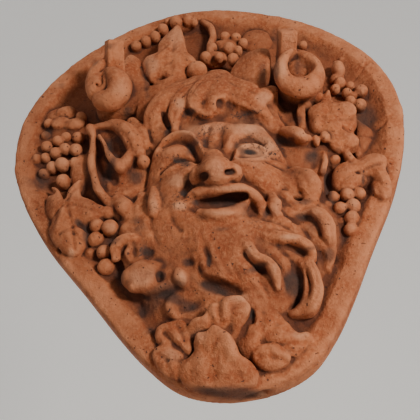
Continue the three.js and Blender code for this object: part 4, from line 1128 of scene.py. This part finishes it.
def own_points(plaque):
    """Corners in the plaque's own frame, in millimetres."""
    return vertex_values(plaque, "co") / MM - (0, 0, MIDDLE_Z)


# Unevenness of the hand-pressed surface: height, size of the lumps, seed. Then the heights over the
# contact face between which it comes in
UNEVENNESS = ((0.40, 14, 1), (0.28, 5.5, 2), (0.20, 2.4, 3))
COMES_IN = (0.5, 4)


def roughen(plaque):
    """Pushes the surface in and out along its normal, but not on the contact face."""
    points = own_points(plaque)
    normals = vertex_values(plaque, "normal")
    push = sum(height * value_noise(points, size, seed) for height, size, seed in UNEVENNESS)
    push = push * smooth(points[:, 1], *COMES_IN)
    points = points + normals * push[:, None]
    plaque.data.vertices.foreach_set("co", to_world(points).ravel())
    plaque.data.update()


def pixels_of(points):
    """Where the photograph would show each point: pixels across and down."""
    from_eye = points * (1, -1, 1) - EYE
    away = -(from_eye @ VIEW_BACK)
    across = PHOTO_SIDE / 2 + FOCAL_PIXELS * (from_eye @ VIEW_RIGHT) / away
    down = PHOTO_SIDE / 2 - FOCAL_PIXELS * (from_eye @ VIEW_UP) / away
    return across, down


# Stains, and spots of painted shade and highlight: pixel across and down, half-sizes in pixels, turn,
# strength

# Grey dirt in the recesses, and painted shadow in the eye sockets, nostrils, mouth and hollows and on the
# horn stub's shaded face
GRIME_AND_SHADOW = (
    (250, 152, 9, 3.2, -8, 1.0), (180, 161, 12, 3.6, -18, 0.9), (190, 112, 8, 4.5, 15, 0.9),
    (246, 114, 14, 3.2, 10, 0.8), (219, 103, 4, 6, 0, 0.6), (204, 141, 2.4, 9, 0, 0.6),
    (184, 193, 5, 3.4, -20, 0.9), (195, 203, 5, 4, 0, 0.8), (222, 203, 24, 6, -10, 0.7),
    (203, 175, 6, 4, -10, 0.5), (230, 172, 6.5, 4, 0, 0.6), (146, 252, 7, 5, 0, 0.9),
    (161, 275, 5, 4, 0, 0.9), (190, 306, 11, 6, -15, 0.7), (293, 286, 9, 18, 10, 0.9),
    (135, 178, 7, 7, 0, 0.8), (109, 172, 5, 18, -22, 0.8), (112, 145, 6, 11, -30, 0.8),
    (312, 158, 8, 9, 0, 0.8), (328, 186, 5, 17, 12, 0.8), (366, 118, 11, 10, 20, 0.7),
    (330, 255, 6, 8, 0, 0.7), (256, 268, 15, 4, 22, 0.8), (209, 261, 2.6, 8, -12, 0.9),
    (187, 262, 7, 5, 0, 0.7), (139, 225, 6, 9, 0, 0.7), (112, 241, 9, 5, 10, 0.7), (42, 182, 9, 9, 0, 0.7),
    (302, 217, 7, 4, 0, 0.8), (265, 214, 3.4, 5, 0, 0.7), (304, 202, 12, 4, 5, 0.7), (95, 62, 5, 4, 0, 0.5),
    (62, 86, 5, 4, 0, 0.4), (111, 46, 5, 4, 0, 0.6), (127, 112, 4, 5, 0, 0.6), (147, 80, 3, 22, 0, 0.5),
    (276, 66, 4, 18, 0, 0.6), (276, 38, 4, 12, 8, 0.6), (298, 68, 5, 11, 0, 0.6), (263, 75, 4, 12, 0, 0.5),
    (214, 289, 20, 6, -22, 0.8), (172, 298, 16, 6, -20, 0.7), (48, 133, 4, 7, 0, 0.7),
    (305, 250, 14, 3, 15, 0.7), (120, 275, 5, 14, 0, 0.6), (298, 120, 4, 6, 0, 0.6),
    (160, 292, 26, 8, 20, 0.6), (150, 307, 16, 8, 35, 0.5), (286, 140, 12, 4, 5, 0.8),
    (315, 225, 8, 8, 0, 0.5), (345, 240, 6, 6, 0, 0.4), (222, 229, 10, 2.6, 5, 0.5),
    (252, 314, 3, 6, 0, 0.9), (168, 130, 2.5, 6, -35, 0.8), (192, 147, 5, 13, -28, 0.7),
    (240, 150, 3, 10, 28, 0.6), (78, 222, 4, 4, 0, 0.8), (85, 235, 4, 9, 0, 0.7), (372, 190, 3, 5, 0, 0.7),
    (230, 393, 50, 7, -4, 0.8), (150, 331, 6, 3, 0, 0.6), (363, 180, 2, 7, 0, 0.8),
    (338, 150, 5, 3, 0, 0.5),
)

# Pale dust, and painted highlight on the brows, around the right eye and on other raised parts
PALE = (
    (180, 104, 7, 6, 0, 0.7), (219, 100, 1.2, 3.4, 0, 1.0), (180, 206, 8, 5, 0, 0.7),
    (71, 253, 3, 4, 0, 0.8), (264, 98, 8, 7, 0, 0.5), (282, 70, 6, 15, 0, 0.5), (121, 86, 9, 12, 0, 0.3),
    (288, 40, 7, 11, 0, 0.3), (178, 182, 10, 8, 0, 0.5), (215, 168, 9, 10, 0, 0.5),
    (142, 277, 14, 11, 0, 0.4), (181, 279, 5, 8, 0, 0.5), (153, 205, 5, 9, 0, 0.5),
    (276, 208, 6, 9, 0, 0.4), (300, 134, 8, 4, 0, 0.5), (240, 298, 10, 5, 0, 0.5), (200, 335, 8, 8, 0, 0.4),
    (170, 356, 14, 8, 0, 0.4), (300, 335, 10, 5, 0, 0.5), (225, 213, 22, 3, 0, 0.4),
    (225, 188, 25, 3, 0, 0.4), (152, 65, 8, 10, 0, 0.5), (176, 38, 10, 12, 0, 0.4),
    (262, 394, 5, 3, 0, 0.9), (256, 147, 23, 15, 0, 0.6), (247, 128, 19, 10, -5, 0.7),
    (196, 130, 17, 7, 20, 0.6), (216, 127, 14, 8, 0, 0.5), (310, 214, 10, 5, 20, 0.4),
    (290, 237, 12, 3, 5, 0.5), (248, 252, 3, 8, -20, 0.5), (274, 270, 4, 8, -15, 0.4),
    (360, 90, 6, 6, 0, 0.4), (340, 70, 6, 8, 0, 0.3), (350, 212, 8, 20, 0, 0.3), (110, 228, 7, 7, 0, 0.4),
    (62, 160, 22, 20, 0, 0.25),
)

# Dark specks
SPECKLED = (
    (246, 114, 20, 5, 10, 1.0), (205, 137, 9, 20, 0, 0.8), (220, 130, 8, 12, 0, 0.6),
    (273, 150, 14, 9, 0, 1.0), (178, 161, 16, 6, -18, 1.0), (184, 200, 14, 14, 0, 0.9),
    (252, 140, 18, 10, 0, 0.6), (200, 118, 14, 5, 0, 0.8), (185, 112, 12, 8, 0, 0.7),
    (260, 225, 14, 10, 0, 0.4), (146, 255, 10, 8, 0, 0.8), (155, 205, 6, 10, 0, 0.5),
)

# Broad brown stains, and painted shade over the left side and rim, which face away from the light
BROWN_STAINS_AND_SHADE = (
    (160, 262, 46, 26, 10, 0.8), (178, 300, 40, 14, 20, 0.8), (130, 290, 22, 16, 40, 0.8),
    (94, 170, 10, 44, -8, 0.8), (334, 254, 13, 24, 0, 0.8), (302, 168, 22, 20, 0, 0.7),
    (212, 276, 18, 14, 30, 0.6), (120, 160, 26, 30, 0, 0.5), (285, 278, 30, 26, 0, 0.5),
    (140, 100, 12, 30, 0, 0.6), (300, 115, 26, 18, 20, 0.6), (270, 300, 40, 16, 0, 0.5),
    (90, 255, 10, 20, -30, 0.7), (222, 50, 34, 20, 0, 0.5), (372, 120, 14, 40, 0, 0.6),
    (170, 225, 26, 14, 0, 0.5), (60, 230, 60, 130, 0, 0.35), (120, 330, 60, 22, 42, 0.4),
    (36, 150, 14, 70, 6, 0.5), (230, 240, 40, 20, 20, 0.35), (200, 215, 14, 8, 0, 0.3),
    (38, 180, 6, 40, -6, 0.7), (250, 395, 60, 8, 0, 0.5),
)

# Where a spot fades out, how wavy its rim is, and which way a surface must face to take it
SPOT_FADE = (0.45, 1.25)
SPOT_WAVES = 0.35
FACING_FADE = (-0.15, 0.15)

# Low ground, darkened as painted shade between the raised forms: far enough in from the plaque's edge and
# near enough to the back
LOW_FROM_EDGE = (13, 24)
LOW_HEIGHT = (11, 22)

# The small and the large reach over which a point counts as buried
NEAR_REACH = 2
FAR_REACH = 7


def spot_strength(points, normals, spots):
    """How strongly each point takes the stains and the spots of painted light and shade: the spots fade out
    towards their rims.
    """
    across, down = pixels_of(points)
    facing = smooth(normals @ (VIEW_BACK * (1, -1, 1)), *FACING_FADE)
    wobble = 1 + SPOT_WAVES * value_noise(points, 6, 5)
    clean = np.ones(len(points))
    for x0, y0, half_x, half_y, turn, strength in spots:
        c, s = turned(turn)
        u = ((across - x0) * c - (down - y0) * s) / half_x
        v = ((across - x0) * s + (down - y0) * c) / half_y
        reach = np.sqrt(u * u + v * v) * wobble
        clean *= 1 - strength * (1 - smooth(reach, *SPOT_FADE))
    return (1 - clean) * facing


def add_attributes(plaque, clay, edge):
    """How buried each corner is, over a small and a large reach (half on a flat), and its stains and spots
    of painted light and shade.
    """
    points = own_points(plaque)
    normals = vertex_values(plaque, "normal")
    places = (points - clay.low) / CELL
    solid = clay.field < 0
    from_edge = sampled(np.repeat(edge[:, None, :], 2, axis=1), places * (1, 0, 1))
    ground_stain_and_shade = smooth(from_edge, *LOW_FROM_EDGE) * (1 - smooth(points[:, 1], *LOW_HEIGHT))
    values = {
        "buried_near": sampled(blurred(solid, NEAR_REACH), places),
        "buried_far": sampled(blurred(solid, FAR_REACH), places),
        "ground_stain_and_shade": np.maximum(ground_stain_and_shade, spot_strength(points, normals, BROWN_STAINS_AND_SHADE)),
        "grime_and_shadow": spot_strength(points, normals, GRIME_AND_SHADOW),
        "pale": spot_strength(points, normals, PALE),
        "speckled": spot_strength(points, normals, SPECKLED),
    }
    for name, value in values.items():
        attribute = plaque.data.attributes.new(name, "FLOAT", "POINT")
        attribute.data.foreach_set("value", value.astype(np.float32))


# Terracotta

DEEP_RED = (0.27, 0.060, 0.019)
ORANGE_RED = (0.45, 0.130, 0.047)
ORANGE = (0.50, 0.178, 0.078)
BROWN_RED = (0.27, 0.065, 0.024)
PALE_GRAIN = (0.62, 0.25, 0.12)
# Ground brown colour, also the painted shade on the low ground and the left side
GROUND_BROWN_AND_SHADE = (0.19, 0.052, 0.022)
# Dust colour, also the painted highlight on the crests
DUST_AND_HIGHLIGHT = (0.57, 0.215, 0.100)
# Pale dust colour, also the painted highlight on the brows and raised parts
PALE_DUST_AND_HIGHLIGHT = (0.64, 0.30, 0.165)
# Dirt colour, also the painted shade that darkens the recesses
DIRT_AND_RECESS_SHADE = (0.085, 0.028, 0.016)
# Grey dirt colour, also the painted shadow in sockets, nostrils and hollows
GREY_DIRT_AND_SHADOW = (0.045, 0.032, 0.028)
SPECK = (0.05, 0.035, 0.03)
PORE = (0.06, 0.03, 0.025)
GRAIN_STRENGTH = 0.95
GRAIN_DEPTH = 0.0021


class Nodes:
    """Short names for building a material's nodes."""

    def __init__(self, material):
        material.use_nodes = True
        self.tree = material.node_tree
        self.shader = self.tree.nodes["Principled BSDF"]

    def make(self, kind, **values):
        """A node of this kind, with values for its settings or its inputs."""
        node = self.tree.nodes.new(kind)
        for key, value in values.items():
            if hasattr(node, key):
                setattr(node, key, value)
            else:
                node.inputs[key].default_value = value
        return node

    def link(self, output, target):
        self.tree.links.new(output, target)

    def noise(self, place, scale, detail=4.0, rough=0.55):
        """Noise at a place; the larger the scale, the finer it is."""
        node = self.make("ShaderNodeTexNoise", Scale=scale, Detail=detail, Roughness=rough)
        self.link(place, node.inputs["Vector"])
        return node.outputs["Fac"]

    def ramp(self, value, start, end, low=0.0, high=1.0):
        """The value, stretched from start and end to low and high and held between them."""
        node = self.make("ShaderNodeMapRange")
        node.inputs["From Min"].default_value = start
        node.inputs["From Max"].default_value = end
        node.inputs["To Min"].default_value = low
        node.inputs["To Max"].default_value = high
        self.link(value, node.inputs["Value"])
        return node.outputs["Result"]

    def math(self, operation, a, b):
        node = self.make("ShaderNodeMath", operation=operation)
        for socket, value in zip(node.inputs, (a, b)):
            if isinstance(value, (int, float)):
                socket.default_value = value
            else:
                self.link(value, socket)
        return node.outputs["Value"]

    def mix(self, amount, a, b):
        """Colour a with this amount of colour b over it."""
        node = self.tree.nodes.new("ShaderNodeMix")
        node.data_type = "RGBA"
        self.link(amount, node.inputs["Factor"])
        for socket, value in ((node.inputs[6], a), (node.inputs[7], b)):
            if isinstance(value, tuple):
                socket.default_value = (*value, 1)
            else:
                self.link(value, socket)
        return node.outputs[2]

    def attribute(self, name):
        return self.make("ShaderNodeAttribute", attribute_name=name).outputs["Fac"]


def mottled_clay(n, place, middle, fine):
    """The bare clay: broad patches of two reds, then smaller orange, brown and pale ones."""
    clay = n.mix(n.ramp(n.noise(place, 16, 4), 0.38, 0.62), DEEP_RED, ORANGE_RED)
    clay = n.mix(n.ramp(middle, 0.35, 0.68, 0, 0.75), clay, ORANGE)
    clay = n.mix(n.ramp(n.noise(place, 160, 5), 0.44, 0.66, 0, 0.75), clay, BROWN_RED)
    return n.mix(n.ramp(fine, 0.45, 0.7, 0, 0.5), clay, PALE_GRAIN)


def weathering_and_painted_light(n, clay, place, middle):
    """Brown low ground with painted shade, crests lighter with dust and painted highlight, pale spots with
    painted highlight, recesses darker with dirt and painted shade, grey deposits with painted shadow, and
    specks.
    """
    near = n.attribute("buried_near")
    far = n.attribute("buried_far")
    patchy = n.ramp(middle, 0.25, 0.6, 0.6, 1.0)
    # Brown stains and painted shade on the low ground and the left side
    clay = n.mix(n.math("MULTIPLY", n.attribute("ground_stain_and_shade"), 0.62), clay, GROUND_BROWN_AND_SHADE)
    # Dust and painted highlight: the crests, where the clay is least buried, are painted lighter
    high = n.math("ADD", n.ramp(near, 0.47, 0.33), n.ramp(far, 0.43, 0.24))
    dust_and_highlight = n.math("MULTIPLY", n.ramp(high, 0.2, 1.5), n.ramp(middle, 0.35, 0.62, 0.3, 0.85))
    clay = n.mix(dust_and_highlight, clay, DUST_AND_HIGHLIGHT)
    # Pale dust and painted highlight, at the listed pale spots
    pale = n.math("MULTIPLY", n.attribute("pale"), n.ramp(middle, 0.3, 0.6, 0.5, 1.0))
    clay = n.mix(pale, clay, PALE_DUST_AND_HIGHLIGHT)
    # Dirt and painted shade: the more buried a point is, the darker it is painted
    recess = n.math("ADD", n.ramp(near, 0.52, 0.68), n.ramp(far, 0.52, 0.74))
    clay = n.mix(n.math("MULTIPLY", n.ramp(recess, 0.0, 1.05), patchy), clay, DIRT_AND_RECESS_SHADE)
    # Grey dirt and painted shadow, at the spots listed in GRIME_AND_SHADOW
    clay = n.mix(n.math("MULTIPLY", n.attribute("grime_and_shadow"), patchy), clay, GREY_DIRT_AND_SHADOW)
    speck = n.ramp(n.noise(place, 520, 3, 0.6), 0.56, 0.60)
    return n.mix(n.math("MULTIPLY", speck, n.attribute("speckled")), clay, SPECK)


def add_grain(n, place, middle, fine, pores):
    """Grain and pores too fine for the mesh."""
    grain = n.math("ADD", n.math("MULTIPLY", fine, 0.6), n.math("MULTIPLY", n.noise(place, 1400, 3), 0.3))
    relief = n.math("ADD", grain, n.math("MULTIPLY", middle, 1.2))
    relief = n.math("ADD", relief, n.math("MULTIPLY", pores, -0.8))
    bumps = n.make("ShaderNodeBump", Strength=GRAIN_STRENGTH, Distance=GRAIN_DEPTH)
    n.link(relief, bumps.inputs["Height"])
    n.link(bumps.outputs["Normal"], n.shader.inputs["Normal"])


def terracotta():
    """Unglazed fired clay with its dirt and dust, and with painted shade in its recesses and painted
    highlights on its crests.
    """
    material = bpy.data.materials.new("terracotta")
    n = Nodes(material)
    place = n.make("ShaderNodeTexCoord").outputs["Object"]
    middle = n.noise(place, 70, 6, 0.62)
    fine = n.noise(place, 420, 4, 0.65)
    pores = n.ramp(n.noise(place, 380, 1, 0.5), 0.275, 0.25)
    clay = weathering_and_painted_light(n, mottled_clay(n, place, middle, fine), place, middle)
    clay = n.mix(n.math("MULTIPLY", pores, 0.8), clay, PORE)
    n.link(clay, n.shader.inputs["Base Color"])
    n.link(n.ramp(fine, 0.3, 0.7, 0.82, 0.98), n.shader.inputs["Roughness"])
    n.shader.inputs["Specular IOR Level"].default_value = 0.2
    add_grain(n, place, middle, fine, pores)
    return material


# Camera, lights and stage

def linked(name, data):
    """A new object in the scene."""
    item = bpy.data.objects.new(name, data)
    bpy.context.scene.collection.objects.link(item)
    return item


def add_camera():
    """The camera of the photograph, as fitted to it."""
    data = bpy.data.cameras.new("camera")
    data.sensor_width = SENSOR
    data.lens = FOCAL_PIXELS / PHOTO_SIDE * SENSOR
    camera = linked("camera", data)
    turn = Matrix((VIEW_RIGHT, VIEW_UP, VIEW_BACK)).transposed()
    place = Vector(EYE * MM) + Vector((0, 0, MIDDLE_Z * MM))
    camera.matrix_world = Matrix.Translation(place) @ turn.to_4x4()
    bpy.context.scene.camera = camera


# Name, place from the plaque's middle, size, power, colour
LIGHTS = (
    ("key", (0.58, -0.74, -0.22), 0.16, 9.6, (1.0, 0.95, 0.88)),
    ("fill", (-1.0, -0.7, 0.9), 1.0, 3.5, (0.9, 0.95, 1.0)),
    ("back", (-0.4, 1.2, 0.6), 1.0, 10, (1.0, 0.97, 0.93)),
)
SKY = (0.92, 0.90, 0.87)
SKY_STRENGTH = 0.3


def area_light(name, place, size, power, colour):
    """A square light that faces the plaque's middle."""
    data = bpy.data.lights.new(name, "AREA")
    data.size = size
    data.energy = power
    data.color = colour
    light = linked(name, data)
    light.location = Vector((0, 0, MIDDLE_Z * MM)) + Vector(place)
    light.rotation_euler = (-Vector(place)).to_track_quat("-Z", "Y").to_euler()


def add_light():
    """The lamps and an even, faint light from all round."""
    for light in LIGHTS:
        area_light(*light)
    world = bpy.data.worlds.new("studio")
    bpy.context.scene.world = world
    world.use_nodes = True
    background = world.node_tree.nodes["Background"]
    background.inputs["Color"].default_value = (*SKY, 1)
    background.inputs["Strength"].default_value = SKY_STRENGTH


# Stage, in metres: floor under the plaque, wall behind it, half their width, colour, glow of the wall
FLOOR_BELOW = 0.75
WALL_BEHIND = 1.7
STAGE_HALF = 4.0
STAGE_COLOUR = (0.82, 0.80, 0.77)
WALL_GLOW = 0.45


def add_panel(name, corners, glow):
    """A flat, matt panel of the stage."""
    mesh = bpy.data.meshes.new(name)
    mesh.from_pydata(corners, [], [(0, 1, 2, 3)])
    panel = linked(name, mesh)
    material = bpy.data.materials.new(name)
    material.use_nodes = True
    shader = material.node_tree.nodes["Principled BSDF"]
    shader.inputs["Base Color"].default_value = (*STAGE_COLOUR, 1)
    shader.inputs["Roughness"].default_value = 0.9
    shader.inputs["Emission Color"].default_value = (*STAGE_COLOUR, 1)
    shader.inputs["Emission Strength"].default_value = glow
    mesh.materials.append(material)


def add_stage():
    """A plain pale floor well under the plaque, and a plain pale wall far behind it."""
    y = WALL_BEHIND
    z = CAD_LOW.z - FLOOR_BELOW
    half = STAGE_HALF
    floor = [(-half, -half, z), (half, -half, z), (half, y, z), (-half, y, z)]
    wall = [(-half, y, z), (half, y, z), (half, y, z + 2 * half), (-half, y, z + 2 * half)]
    add_panel("floor", floor, 0.0)
    add_panel("wall", wall, WALL_GLOW)


add_camera()
add_light()
add_stage()
plaque = build_plaque()
plaque.data.materials.append(terracotta())
plaque.data.shade_smooth()
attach(plaque, "root")
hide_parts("plaque")
